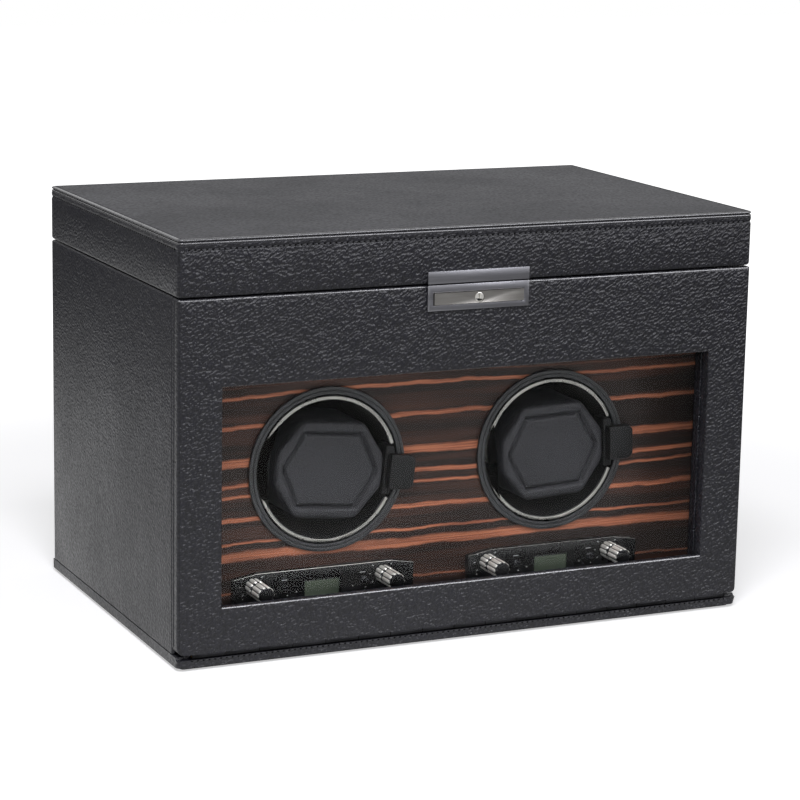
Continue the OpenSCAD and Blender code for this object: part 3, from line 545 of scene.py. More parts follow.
lockSteel = makeMetal("brushedSteel", (116, 116, 120), (160, 160, 165), 0.3, True, 0.35)
ringSteel = makeMetal("ringSteel", (128, 127, 124), (158, 156, 151), 0.22)
knobSilver = makeMetal("knobSilver", (222, 220, 212), (240, 238, 231), 0.34, metal=0.45)
barSteel = makeMetal("barSteel", (130, 128, 124), (180, 177, 172), 0.3, True, 0.35)
chrome = makeMetal("chrome", (214, 213, 210), (232, 231, 228), 0.06)
steel = makeMetal("plainSteel", (120, 121, 124), (160, 161, 164), 0.35, bump=0.1)
brass = makeMetal("hingeBrass", (158, 132, 78), (196, 170, 112), 0.28, bump=0.1)
blackSteel = makeMetal("blackenedSteel", (22, 22, 23), (40, 40, 42), 0.4, bump=0.1)
bronze = makeMetal("bronze", (140, 98, 58), (176, 130, 84), 0.35, bump=0.1)


def makeGlass():
    f = Finish("windowGlass")
    shadow = f.w.add("ShaderNodeLightPath").outputs["Is Shadow Ray"]  # lets the lamps reach the bay
    f.set(color=(0.96, 0.97, 0.97), ior=1.16, metal=0.0, through=1.0, rough=0.0,
          alpha=f.w.minus(1.0, f.w.times(shadow, 0.92)))
    return f.material


windowGlass = makeGlass()


# the veneer: pale streaks of the ebony as (height, width, share of full colour), in millimetres
ebonyLook = {"ground": (36, 27, 24), "brown": (72, 47, 38), "streak": (172, 107, 78), "deep": (118, 68, 50),
             "low": 10.0, "high": 150.0,
             "streaks": [(139.5, 1.2, 0.35), (133.9, 2.0, 0.9), (117.5, 2.6, 0.85), (97.6, 4.6, 1.0), (85.0, 2.6, 0.9),
                         (78.7, 2.0, 0.7), (65.8, 2.6, 0.85), (52.7, 1.7, 0.75), (45.4, 4.9, 1.0), (25.3, 1.5, 0.7)]}


def makeEbony():
    look = ebonyLook
    low, tall = look["low"], look["high"] - look["low"]
    f = Finish("ebonyVeneer")
    w = f.w
    sway = w.drawn(f.place, (7.0, 1.0, 9.0), 2.0, 0.5)
    ripple = w.drawn(f.place, (42.0, 1.0, 30.0), 3.0, 0.6)
    ragged = w.drawn(f.place, (60.0, 1.0, 900.0), 3.0, 0.7)
    height = w.split(f.place)["Z"]
    for wave, share in ((sway, 0.011), (ripple, 0.0035), (ragged, 0.0012)):
        height = w.plus(height, w.times(w.minus(wave, 0.5), share))
    ramp = w.add("ShaderNodeValToRGB")
    w.put(ramp.inputs[0], w.math("DIVIDE", w.minus(height, low * mm), tall * mm))
    stops = []
    for middle, width, share in look["streaks"]:
        stops += [(middle - width * 0.75, 0.0), (middle - width * 0.2, share), (middle + width * 0.75, 0.0)]
    for end in ramp.color_ramp.elements:
        end.color = (0, 0, 0, 1)
    for place, share in sorted(stops):
        ramp.color_ramp.elements.new((place - low) / tall).color = (share, share, share, 1)
    streak = w.spread(ramp.outputs["Color"], 0.1, 0.62)
    fade = w.spread(w.drawn(f.place, (11.0, 1.0, 60.0), 2.0), 0.25, 0.5, 0.45, 1.0)
    streak = w.times(streak, fade)
    grainLines = w.drawn(f.place, (16.0, 1.0, 1500.0), 4.0, 0.7)
    bands = w.drawn(f.place, (5.0, 1.0, 130.0), 3.0, 0.6)
    ground = w.mix(w.spread(bands, 0.42, 0.68), rgb(*look["ground"]), rgb(*look["brown"]))
    ground = w.mix(w.times(grainLines, 0.5), ground, rgb(20, 15, 14))
    gold = w.mix(w.spread(grainLines, 0.35, 0.62), rgb(*look["deep"]), rgb(*look["streak"]))
    pores = w.drawn(f.place, (260.0, 1.0, 2600.0), 2.0, 0.6)
    tone = w.mix(streak, ground, gold)
    tone = w.mix(w.times(w.spread(pores, 0.62, 0.75), 0.4), tone, rgb(14, 10, 9))
    f.set(color=tone, rough=w.plus(0.36, w.times(grainLines, 0.12)), specular=0.16)
    f.bump(w.plus(grainLines, pores), 0.12, 0.05)
    return f.material


ebony = makeEbony()


# where each display's field lies, in metres; the two displays lie a little to the left of their panels' middles
displayLook = {"skew": 0.0015, "middleX": 0.0698, "middleZ": 0.0252, "halfX": 0.0102, "halfZ": 0.0049,
               "soft": 0.0005, "rowHalf": 0.0022, "rowSoft": 0.0004}


def makeDisplay():
    # a reflective display: pale field inside a darker border, with faint unlit segments
    look = displayLook
    f = Finish("displayGlass")
    w = f.w
    x, y, z = w.split(f.place)
    x = w.math("ABSOLUTE", w.minus(w.math("ABSOLUTE", w.plus(x, look["skew"])), look["middleX"]))
    z = w.math("ABSOLUTE", w.minus(z, look["middleZ"]))
    edges = [w.spread(v, look[half] - look["soft"], look[half]) for v, half in ((x, "halfX"), (z, "halfZ"))]
    border = w.math("MAXIMUM", *edges)
    cloud = w.noise(f.place, 120.0, 2.0)
    field = w.mix(cloud, rgb(62, 70, 59), rgb(76, 84, 71))
    segments = w.add("ShaderNodeTexWave", wave_type="BANDS", bands_direction="X")
    w.fill(segments, Vector=f.place, Scale=180.0)
    row = w.spread(z, look["rowHalf"], look["rowHalf"] + look["rowSoft"], 0.22, 0.0)
    field = w.mix(w.times(w.spread(segments.outputs["Fac"], 0.4, 0.6), row), field, rgb(50, 58, 48))
    f.set(color=w.mix(border, field, rgb(28, 33, 28)), rough=w.plus(0.16, w.times(cloud, 0.06)), specular=0.5)
    return f.material


displayGrey = makeDisplay()
print("materials made")


# stitches, and the base, sides and back

thread = {"length": 2.3, "radius": 0.34, "pitch": 3.2, "lean": 12, "hole": 0.42, "holeDeep": 0.24}


def addStitch(name, length, radius):
    # one raised stitch lying along X at the origin
    deselect()
    bpy.ops.mesh.primitive_uv_sphere_add(segments=8, ring_count=6, radius=1, rotation=(0, math.pi / 2, 0))
    stitch = settled(name)
    moveVertices(stitch, lambda p: (math.copysign(abs(p.x * mm) ** 0.7, p.x) * length / 2, p.y * mm * radius,
                                    p.z * mm * radius * 1.25))
    return stitch


def sewRow(name, start, end, facing, body, radius=thread["radius"]):
    # stitches with a needle hole between each two, from start to end in millimetres
    start, end, out = Vector(start), Vector(end), Vector(facing)
    count = round((end - start).length / thread["pitch"])
    step = (end - start) / count
    along = step.normalized()
    facingOut = Matrix((along, out, out.cross(along))).transposed().to_4x4()
    stitch = addStitch(name, thread["length"], radius)
    turn(stitch, math.radians(-thread["lean"]))
    deselect()
    bpy.ops.mesh.primitive_cylinder_add(vertices=10, radius=thread["hole"] * mm, depth=thread["holeDeep"] * mm,
                                        rotation=(math.pi / 2, 0, 0))
    hole = settled(name + "Holes")
    # each needle hole is a thin near-black disc on the surface: painted shade
    for piece, material, first, number in ((stitch, threadBlack, start + step / 2, count),
                                           (hole, holeShade, start, count + 1)):
        piece.data.transform(facingOut)
        shift(piece, first)
        modify(piece, "ARRAY", count=number, use_relative_offset=False, use_constant_offset=True,
               constant_offset_displace=step * mm)
        smooth(piece)
        dress(piece, material, body, "leather")


# rows of stitches lie 0.05 mm proud; the back's rows as (name, start, end)
shellLook = {"frontCorner": 4.0, "backCorner": 3.0, "rowY": halfY + 0.05, "baseRow": (160, 5.1),
             "backRows": [("Stitches12", (154, 12), (-154, 12)), ("Stitches190", (154, 190), (-154, 190)),
                          ("EdgeStitchesLeft", (-155.5, 13), (-155.5, 189)),
                          ("EdgeStitchesRight", (155.5, 13), (155.5, 189))]}


def makeShell():
    look = shellLook
    base = nodeCopy("base_panel", "baseBoard", 0)
    bevelEdges(base, look["frontCorner"], 6, lambda a, b: abs(a.z - b.z) > 1 and all(
        abs(p.x) > halfX - 0.1 and p.y < 0.1 - halfY for p in (a, b)))
    roundEdges(base, 0.5, 3)
    smooth(base)
    dress(base, leather, "cabinet", "leather", "base_panel")
    half, z = look["baseRow"]
    sewRow("baseStitches", (-half, -look["rowY"], z), (half, -look["rowY"], z), (0, -1, 0), "cabinet", 0.26)
    for side, name in sides:
        low, high = (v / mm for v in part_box(name + "_side"))
        panel = addBlock(name + "SidePanel", low, high)
        bevelEdges(panel, look["backCorner"], 6, lambda a, b: all(
            p.x * side > halfX - 0.1 and p.y > halfY - 1 for p in (a, b)))
        roundEdges(panel, 0.9, 3)
        smooth(panel)
        dress(panel, leather, "cabinet", "leather", name + "_side")
    dressNodes(2, ("back_panel", "backBoard", leather, 0.6, "cabinet", "leather"))
    for row, start, end in look["backRows"]:
        sewRow("back" + row, *((x, look["rowY"], z) for x, z in (start, end)), (0, 1, 0), "cabinet")
    dressNodes(2, ("base_pad", "feltPad", felt, 0.5, "cabinet", "felt"))


makeShell()
print("base, sides and back made")


# the lid

lidLook = {"cornerRadius": 3, "bottom": 196.0, "top": 226.0, "wall": 8.0, "cavityTop": 216.5,
           # how far the wall stands in from its outline, at each height
           "wallShape": [(196.0, 1.1), (196.25, 0.55), (196.7, 0.2), (197.5, 0.0), (210.0, 0.0), (218.9, 0.0),
                         (219.5, 0.14), (220.0, 0.42), (220.5, 0.42), (221.1, 0.1), (221.8, 0.0), (222.9, 0.0),
                         (223.1, 0.3), (223.3, 0.08), (223.55, 0.0), (223.8, 0.1), (224.1, 0.36), (224.35, 0.66),
                         (224.5, 0.9), (224.65, 0.6), (224.85, 0.18), (225.1, 0.02), (225.35, 0.06), (225.6, 0.26),
                         (225.82, 0.56), (225.94, 0.84), (226.0, 1.2)],
           # how far the top lies under its height, at each distance from its edge
           "topShape": [(1.5, 0.0), (1.8, 0.1), (2.1, 0.45), (2.4, 0.45), (2.7, 0.1), (3.1, 0.0), (3.8, 0.05),
                        (6.0, 0.0), (12.0, -0.1), (24.0, -0.2), (50.0, -0.3)],
           "pipeFrom": 222.95, "pipeWide": 1.45, "stitchZ": 220.25,
           "hinges": (-100, 100), "hingeRod": (2.5, 20.3, (105, 195.6)), "hingeSlot": (20, 98, 106, 196.8)}


def between(table, value):
    # straight-line lookup in a list of pairs
    if value <= table[0][0]:
        return table[0][1]
    for (x0, y0), (x1, y1) in zip(table, table[1:]):
        if value <= x1:
            return y0 + (y1 - y0) * (value - x0) / (x1 - x0)
    return table[-1][1]


def makeLid():
    look = lidLook
    radius, wall = look["cornerRadius"], look["wall"]
    lid = addBlock("lidShell", (-halfX, -halfY, look["bottom"]), (halfX, halfY, look["top"]))
    bevelEdges(lid, radius, 8, lambda a, b: abs(a.x - b.x) < 0.1 and abs(a.y - b.y) < 0.1)
    slices(lid, "Z", [z for z, inset in look["wallShape"][1:-1]])
    editFaces(lid, lambda c, n: n.z > 0.9 and c.z > look["top"] - 0.1)
    bpy.ops.mesh.inset(thickness=look["topShape"][0][0] * mm)
    leaveEdit()
    for axis, half in (("X", halfX), ("Y", halfY)):
        slices(lid, axis, [s * (half - distance) for s in (-1, 1) for distance, drop in look["topShape"][1:]])

    def shape(p):
        # core is the nearest point of the outline without its rounded corners, and out leads from it
        core = Vector([max(radius - half, min(half - radius, v)) for v, half in ((p.x, halfX), (p.y, halfY))] + [p.z])
        out = Vector((p.x - core.x, p.y - core.y, 0))
        edge = radius - out.length if out.length > 0.01 else min(halfX - abs(p.x), halfY - abs(p.y))
        if edge < 0.05:
            return core + out.normalized() * (radius - between(look["wallShape"], p.z))
        if p.z > look["top"] - 0.1:
            return Vector((p.x, p.y, p.z - between(look["topShape"], edge)))
        return p

    moveVertices(lid, shape)
    insideX, insideY = halfX - wall, halfY - wall
    cutters = [addBlock("cutCavity", (-insideX, -insideY, 190), (insideX, insideY, look["cavityTop"]))]
    rodRadius, rodHalf, axis = look["hingeRod"]
    half, front, back, top = look["hingeSlot"]
    for x in look["hinges"]:
        cutters.append(addRod("cutRod", rodRadius, x - rodHalf, x + rodHalf, "X", 32, axis))
        cutters.append(addBlock("cutSlot", (x - half, front, 195), (x + half, back, top)))
    cutAway(lid, cutters)
    smooth(lid, 50)
    # the piping bead round the top takes the lighter leather: a painted highlight line
    twoTone(lid, leather, edgeHighlight, lambda c, n: c.z > look["pipeFrom"] and min(
        halfX - abs(c.x), halfY - abs(c.y)) < look["pipeWide"])
    dress(lid, None, "lid", "leather", "lid_frame", "lid_top")
    z = look["stitchZ"]
    sewRow("lidStitches", (-162, 0.25 - halfY, z), (162, 0.25 - halfY, z), (0, -1, 0), "lid")
    for side, name in sides:
        x = side * (halfX - 0.25)
        sewRow("lidStitches" + name.title(), (x, side * 99, z), (x, -side * 99, z), (side, 0, 0), "lid", 0.24)


makeLid()
print("lid made")


# the door: a wrapped board with a window, a bead round its edge and a soft front

doorLook = {"front": -105.0, "back": -96.5, "low": 7.8, "high": 195.2,
            "windowX": 143.5, "windowLow": 32.3, "windowHigh": 148.7, "topCorner": 1.6, "lowCorner": 5.0,
            "edge": [0.0, 0.2, 0.5, 1.0, 1.6, 2.6, 4.0, 6.5, 10.0], "roll": 1.5, "windowRoll": 1.0, "sill": 2.0,
            # how far the edge stands in round the door, at each depth: a bead at the back, then a flat band
            "groove": [(-99.7, 0.12), (-99.3, 0.3), (-99.0, 0.85), (-98.8, 0.85), (-98.55, 0.3), (-98.1, 0.05),
                       (-97.5, 0.0), (-96.9, 0.15)],
            "glassLap": 3.0, "glassT": 2.0, "lowered": 2.6,  # lowered: the retainer's lower edge
            "lock": (26.6, 184.4, 191.4, 6.8), "key": (3.4, 187.9), "hinge": (1.8, (-103.5, 7.4)),
            "leaf": ((-160, -103.9, 6.8), (160, -103.1, 19.4))}


def rollDrop(distance, radius):
    # how far a rolled edge falls back at a distance from the edge
    if distance >= radius:
        return 0.0
    return radius - math.sqrt(max(0.0, radius ** 2 - (radius - distance) ** 2))


def makeDoor():
    look = doorLook
    front, back, low, high = look["front"], look["back"], look["low"], look["high"]
    wx, wl, wh = look["windowX"], look["windowLow"], look["windowHigh"]
    door = addBlock("doorFrame", (-halfX, front, low), (halfX, back, high))
    for corner, top in ((look["topCorner"], True), (look["lowCorner"], False)):
        bevelEdges(door, corner, 6, lambda a, b: abs(a.y - b.y) > 1 and (a.z > 100) == top)
    steps = look["edge"][1:]
    slices(door, "X", [s * (halfX - d) for s in (-1, 1) for d in steps] + [-wx, wx]
           + [s * (wx + d) for s in (-1, 1) for d in steps])
    slices(door, "Z", [low + d for d in steps] + [high - d for d in steps] + [wl, wh]
           + [wl - d for d in steps] + [wh + d for d in steps])
    slices(door, "Y", [y for y, inset in look["groove"]])
    editFaces(door, lambda c, n: abs(n.y) > 0.9 and abs(c.x) < wx and wl < c.z < wh)
    bpy.ops.mesh.delete(type="FACE")
    leaveEdit()
    editEdges(door, lambda a, b: all(abs(abs(p.x) - wx) < 0.01 and wl - 0.01 < p.z < wh + 0.01
                                     or min(abs(p.z - wl), abs(p.z - wh)) < 0.01 and abs(p.x) < wx + 0.01
                                     for p in (a, b)) and abs(a.y - b.y) < 0.01
              and (abs(a.x - b.x) < 0.01) != (abs(a.z - b.z) < 0.01)
              and abs(a.y + b.y - front - back) > 8)
    bpy.ops.mesh.bridge_edge_loops()
    leaveEdit()

    def shape(p):
        outer = min(halfX - abs(p.x), p.z - low, high - p.z)
        rolled = min(halfX - abs(p.x), high - p.z)  # the lower edge runs on into the hinge roll
        inner = math.hypot(max(abs(p.x) - wx, 0.0), max(wl - p.z, p.z - wh, 0.0))
        x, y, z = p
        if abs(y - front) < 0.01:
            y += rollDrop(rolled, look["roll"]) + rollDrop(inner, look["windowRoll"])
            y += 0.5 * max(0.0, 1 - rolled / 9) ** 2 + 0.3 * max(0.0, 1 - inner / 8) ** 2
        if abs(z - wl) < 0.01 and abs(x) < wx + 0.01:
            z -= look["sill"] * min(1.0, max(0.0, (p.y - front - 1) / 7))
        if outer < 0.05 and p.y > front + 0.1:
            inset = between(look["groove"], p.y)
            if halfX - abs(p.x) < 0.05:
                x = math.copysign(abs(p.x) - inset, p.x)
            if p.z - low < 0.05:
                z = p.z + inset
            if high - p.z < 0.05:
                z = p.z - inset
        return Vector((x, y, z))

    moveVertices(door, shape)
    lap, pane = look["glassLap"], look["glassT"]
    lockX, lockLow, lockHigh, lockDeep = look["lock"]
    cutAway(door, [addBlock("cutPane", (-wx - lap, back - pane, wl - lap), (wx + lap, back + 1, wh + lap)),
                   addBlock("cutLock", (-lockX, front - 1, lockLow), (lockX, front + lockDeep, lockHigh)),
                   addRod("cutKey", look["key"][0], front - 1, back + 1.5, "Y", 32, (0, look["key"][1])),
                   addRod("cutHinge", look["hinge"][0], -169, 169, "X", 32, look["hinge"][1]),
                   addBlock("cutLeaf", *look["leaf"])])
    smooth(door, 50)
    # the rolled top edge and the window's lower and upper edges take the lighter leather: painted highlight lines
    twoTone(door, leather, edgeHighlight, lambda c, n: c.y < front + 1.5 and (
        c.z > high - 1.2 or abs(c.x) < wx and (wl - 0.85 < c.z < wl + 0.05 or wh < c.z < wh + 0.5)))
    dress(door, None, "door", "leather", "door_panel")
    inside = nodeCopy("glass_retainer", "paneFrame", 0)
    moveVertices(inside, lambda p: (p.x, p.y, p.z - look["lowered"] * (abs(p.z - wl) < 0.05)))
    roundEdges(inside, 0.5, 3)
    smooth(inside)
    dress(inside, leather, "door", "leather", "glass_retainer")
    paint(nodes["door_glass"], windowGlass)


rollLook = {"inner": 1.53, "outer": 1.66, "from": 120, "sweep": 165, "halfLength": 163.6}


def makeHingeRoll():
    # a leather strip that covers the door's hinge barrel and turns with the door
    look = rollLook
    half = look["halfLength"]
    roll = addBlock("hingeRoll", (-half, look["inner"], -0.01), (half, look["outer"], 0.01))
    editFaces(roll, lambda c, n: n.z < -0.9)
    bpy.ops.mesh.delete(type="FACE")
    leaveEdit()
    editFaces(roll, lambda c, n: n.z > 0.9)
    bpy.ops.mesh.spin(steps=18, angle=math.radians(look["sweep"]), center=(0, 0, 0), axis=(1, 0, 0))
    leaveEdit()
    editAll(roll)
    bpy.ops.mesh.remove_doubles(threshold=1e-6)
    bpy.ops.mesh.normals_make_consistent(inside=False)
    leaveEdit()
    turn(roll, math.radians(look["from"]), "X")
    shift(roll, (0, *doorLook["hinge"][1]))
    smooth(roll, 40)
    dress(roll, leather, "door", "leather")


makeDoor()
makeHingeRoll()
print("door made")


# lock, keeper and key

dressNodes(2, ("lock_plate", "lockPlate", lockSteel, 0.35, "door", "lock_steel"),
           ("keeper_plate", "keeperPlate", lockSteel, 0.35, "lid", "lock_steel"),
           ("push_bar", "pushBar", barSteel, 0.6, "push_bar", "lock_steel"),
           ("key_cylinder", "keyCylinder", knobSilver, 0.3, "key", "lock_steel"),
           ("lock_cam", "lockCam", steel, 0.2, "key", "steel"))
print("lock made")


# bay: veneered fascia, bezels, drums and rings; each winder's pieces as (node, name, material, edge, body, slot)

bayLook = {"panelEdge": 0.5, "highlightBehind": -66.7, "highlightAbove": 34,
           "pieces": [("_bezel", "Bezel", bezelBlack, 0.35, None, "satin_black"),
                      ("_housing", "Housing", satinBlack, 0.3, None, "satin_black"),
                      ("_drum", "Drum", flock, 0.35, "_drum", "drum_black"),
                      ("_drum_ring", "DrumRing", ringSteel, 0.55, "_drum", "chrome"),
                      ("_cuff_frame", "CuffFrame", satinBlack, 0.6, "_drum", "satin_black"),
                      ("_lock_tab", "LockTab", satinBlack, 0.7, "_lock_tab", "satin_black"),
                      ("_set_button", "SetButton", buttonBlack, 0.9, "_set_button", "button_black"),
                      ("_start_button", "StartButton", buttonBlack, 0.9, "_start_button", "button_black")]}


def makeBay():
    look = bayLook
    dressNodes(2, ("fascia", "fasciaBoard", ebony, 0.25, "cabinet", "ebony"))
    for side, name in sides:
        dressNodes(3, *((name + node, name + label, material, width, name + body if body else "cabinet", slot)
                        for node, label, material, width, body, slot in look["pieces"]))
        panel = nodeCopy(name + "_control_panel", name + "ControlPanel", look["panelEdge"], 3)
        # the up-and-front faces of the panel's top bevel take the silver knob finish: a painted highlight line along
        # the top edge
        twoTone(panel, glossBlack, knobSilver, lambda c, n: c.y < look["highlightBehind"] and c.z > look["highlightAbove"]
                and n.z > 0.15 and n.y < -0.15)
        dress(panel, None, "cabinet", "gloss_black", name + "_control_panel")
    dressNodes(2, ("deck", "deckBoard", baySuede, 0.5, "cabinet", "lining"),
               ("tray_rail", "trayRail", baySuede, 0.5, "cabinet", "lining"),
               ("displays", "displayPanes", displayGrey, 0.2, "cabinet", "display_grey"))


makeBay()
print("bay made")


# fluted knobs of the control panels

dialLook = {"radius": 4.9, "front": -87.7, "back": -67.7, "lobes": 10, "lobeDeep": 0.15, "ribFrom": 4.45,
            "faceRings": (0.35, 0.5, 1.2, 1.4), "waist": (-77.3, -76.1), "waistDeep": 1.0, "shaft": 1.5,
            # where the knob is sliced: in from its front, round each side of its waist, and in from its back
            "frontCuts": (0.3, 0.8, 1.5), "waistCuts": (-0.8, -0.35, -0.1, 0.1), "backCuts": (1.2, 0.6, 0.2),
            "shaftEnd": -57.9, "height": 30.5, "places": (-42.0, 34.0)}
panelX = 69.8


def makeDials():
    look = dialLook
    front, back, radius = look["front"], look["back"], look["radius"]
    w0, w1 = look["waist"]
    knob = addRod("knobMaster", radius, front, back, "Y", 96)
    editFaces(knob, lambda c, n: n.y < -0.9)
    for thickness in look["faceRings"]:
        bpy.ops.mesh.inset(thickness=thickness * mm)
    leaveEdit()
    slices(knob, "Y", [front + d for d in look["frontCuts"]] + [w0 + d for d in look["waistCuts"]]
           + [w1 - d for d in reversed(look["waistCuts"])] + [back - d for d in look["backCuts"]])

    def shape(p):
        r = math.hypot(p.x, p.z)
        if r < 0.01:
            return p
        flute = 1 - abs(math.cos(look["lobes"] / 2 * math.atan2(p.z, p.x))) ** 0.8
        lobe = 1 - look["lobeDeep"] * flute * min(1.0, r / radius) ** 3
        y, scale = p.y, 1.0
        if r > radius - 0.05:
            waist = max(0.0, 1 - max(w0 - y, y - w1, 0.0) / 0.7)
            scale -= (rollDrop(min(y - front, back - y), 1.3) + look["waistDeep"] * waist ** 0.6) / radius
        elif abs(y - front) < 0.01:
            y -= 0.25 * (1 - (r / radius) ** 2)
            scale = 0.78 if r > radius - 0.5 else 0.86
        return Vector((p.x * lobe * scale, y, p.z * lobe * scale))

    moveVertices(knob, shape)
    shaft = addRod("knobShaft", look["shaft"], back - 0.5, look["shaftEnd"], "Y", 24)
    knob = joinPieces("knobMaster", [knob, shaft])
    smooth(knob, 45)
    twoTone(knob, knobSilver, blackSteel, lambda c, n: n.y < -0.7 and c.y < front + 1.5
            or math.hypot(c.x, c.z) < look["ribFrom"])
    for side, name in sides:
        for x, part, label in zip(look["places"], ("_mode_dial", "_turns_dial"), ("ModeDial", "TurnsDial")):
            dial = copyPiece(knob, name + label)
            shift(dial, (side * panelX + x, 0, look["height"]))
            dress(dial, None, name + part, "chrome", name + part)
    discard(knob)


makeDials()

# a panel's marks, from its middle: dashes as (x, z, width, height), ticks round the dials, and studs; no words
markLook = {"face": -67.4, "proud": 0.05, "deep": 0.1, "ring": 6.6, "tick": 1.1, "thick": 0.32,
            "angles": (-40, 0, 40, 140, 180, 220), "dashes": [(-23.5, 32.0, 3.2, 0.42), (22.4, 32.0, 3.2, 0.42)],
            "studs": [(-16.5, 24.7), (16.7, 24.7), (-21.8, 23.1), (24.3, 23.2), (-47.8, 23.6), (44.6, 24.6)],
            "stud": 0.55}


def makeMarks():
    look = markLook
    face = look["face"]

    def addMark(x, z, wide, high):
        return addBlock("mark", (x - wide / 2, face - look["proud"], z - high / 2),
                        (x + wide / 2, face + look["deep"], z + high / 2))

    for side, name in sides:
        marks = [addMark(*dash) for dash in look["dashes"]]
        for dial in dialLook["places"]:
            for angle in look["angles"]:
                tick = addMark(look["ring"] + look["tick"] / 2, 0, look["tick"], look["thick"])
                turn(tick, -math.radians(angle))
                shift(tick, (dial, 0, dialLook["height"]))
                marks.append(tick)
        studs = []
        for x, z in look["studs"]:
            deselect()
            spot = (x * mm, face * mm, z * mm)
            bpy.ops.mesh.primitive_uv_sphere_add(segments=12, ring_count=8, radius=look["stud"] * mm, location=spot)
            bpy.ops.transform.resize(value=(1.0, 0.8, 1.0), center_override=spot)
            studs.append(settled("stud"))
        for pieces, label, material in ((marks, "Marks", markWhite), (studs, "Studs", chrome)):
            piece = joinPieces(name + "Panel" + label, pieces)
            shift(piece, (side * panelX, 0, 0))
            smooth(piece)
            dress(piece, material, "cabinet", "gloss_black")


makeMarks()
print("dials made")


# cuffs: a stuffed six-sided pad with a stitched inner panel

cuffLook = {"halfFlat": 18.5, "halfPoint": 32.35, "pointHalf": 9.0, "halfHigh": 27.75, "front": -69.0, "deep": 42.0,
            "shrink": 0.8, "voxel": 1.6, "pressure": 7.0, "frames": 20, "cap": 2.2,
            # what the cloth can't move: near the back, round the slot and along the seam
            "pinBack": 5, "pinSlot": (12.5, -58, -35), "pinFront": 6, "pinSeam": 0.95,
            # the stitched inner panel: half its flat, its tips and its height, and how its tips are rounded
            "innerFlat": 16.7, "innerPoint": 27.4, "innerHigh": 20.0, "innerRound": 5.0,
            "seamDeep": 2.4, "seamWide": 0.9, "panelDrop": 0.9, "stitchIn": 1.5, "stitchPitch": 2.2,
            "stitch": (1.6, 0.28), "stitchY": 2.35,
            # the slot for the cuff frame's beam, and each cuff's side, place and turn
            "beam": ((-60, -55.6, -10), (60, -37.6, 10)), "drumZ": 90.5,
            "places": (("left", -67.7, 5.5), ("right", 67.7, -2.5))}


def hexagon(inset):
    # corners of the cuff's outline, moved inwards
    look = cuffLook
    f, p, q, h = look["halfFlat"], look["halfPoint"], look["pointHalf"], look["halfHigh"]
    slope = math.hypot(p - f, h - q)
    nx, nz = (h - q) / slope, (p - f) / slope
    top, side = h - inset, p - inset
    # the slanted edge through (f, h) and (p, q), moved in as well
    reach = nx * f + nz * h - inset
    xTop, zSide = (reach - nz * top) / nx, (reach - nx * side) / nz
    return [(a * x, b * z) for a in (-1, 1) for b in (-1, 1) for x, z in ((xTop, top), (side, zSide))]


def insideBy(x, z):
    # distance in from the inner panel's outline, a six-sided one with rounded tips
    look = cuffLook
    f, p, h, r = look["innerFlat"], look["innerPoint"], look["innerHigh"], look["innerRound"]
    slope = math.hypot(p - f, h)
    nx, nz = h / slope, (p - f) / slope
    x, z = abs(x), abs(z)
    slanted = nx * f + nz * h - nx * x - nz * z
    tip = p - r / nx  # middle of the round at a tip
    if x > tip and z < (x - tip) * nz / nx:
        slanted = r - math.hypot(x - tip, z)
    return min(h - z, slanted)


def innerRing(inset, pitch):
    # places and angles of stitches round the inner panel
    look = cuffLook
    steps = []
    for quarter in range(1440):
        a = math.radians(quarter / 4)
        low, high = 0.0, 40.0
        for halving in range(22):
            middle = (low + high) / 2
            if insideBy(middle * math.cos(a), middle * math.sin(a)) > inset:
                low = middle
            else:
                high = middle
        steps.append((low * math.cos(a), low * math.sin(a)))
    length = sum(math.dist(a, b) for a, b in zip(steps, steps[1:] + steps[:1]))
    count = round(length / pitch)
    places, gone, due = [], 0.0, 0.0
    for (x0, z0), (x1, z1) in zip(steps, steps[1:] + steps[:1]):
        if gone >= due and len(places) < count:
            places.append((x0, z0, math.atan2(z1 - z0, x1 - x0)))
            due += length / count
        gone += math.dist((x0, z0), (x1, z1))
    return places


def stuff(piece, look, pinned):
    # remeshes a piece, swells it as cloth and caps how far each point may go
    modify(piece, "REMESH", mode="VOXEL", voxel_size=look["voxel"] * mm)
    before = [v.co.copy() for v in piece.data.vertices]
    cap = look["cap"] * mm
    group = piece.vertex_groups.new(name="pin")
    group.add([v.index for v in piece.data.vertices if pinned(v.co / mm)], 1.0, "REPLACE")
    cloth = piece.modifiers.new("Cloth", "CLOTH")
    cloth.settings.use_pressure = True
    cloth.settings.uniform_pressure_force = look["pressure"]
    cloth.settings.vertex_group_mass = "pin"
    cloth.settings.effector_weights.gravity = 0
    cloth.settings.quality = 5
    cloth.settings.tension_stiffness = 12
    cloth.settings.compression_stiffness = 12
    for number in range(1, look["frames"] + 1):
        bpy.context.scene.frame_set(number)
    activate(piece)
    bpy.ops.object.modifier_apply(modifier="Cloth")
    bpy.context.scene.frame_set(1)
    for v, start in zip(piece.data.vertices, before):
        move = v.co - start
        if move.length > cap:
            v.co = start + move * (cap / move.length)
    piece.vertex_groups.clear()
    modify(piece, "SUBSURF", levels=1, render_levels=1)


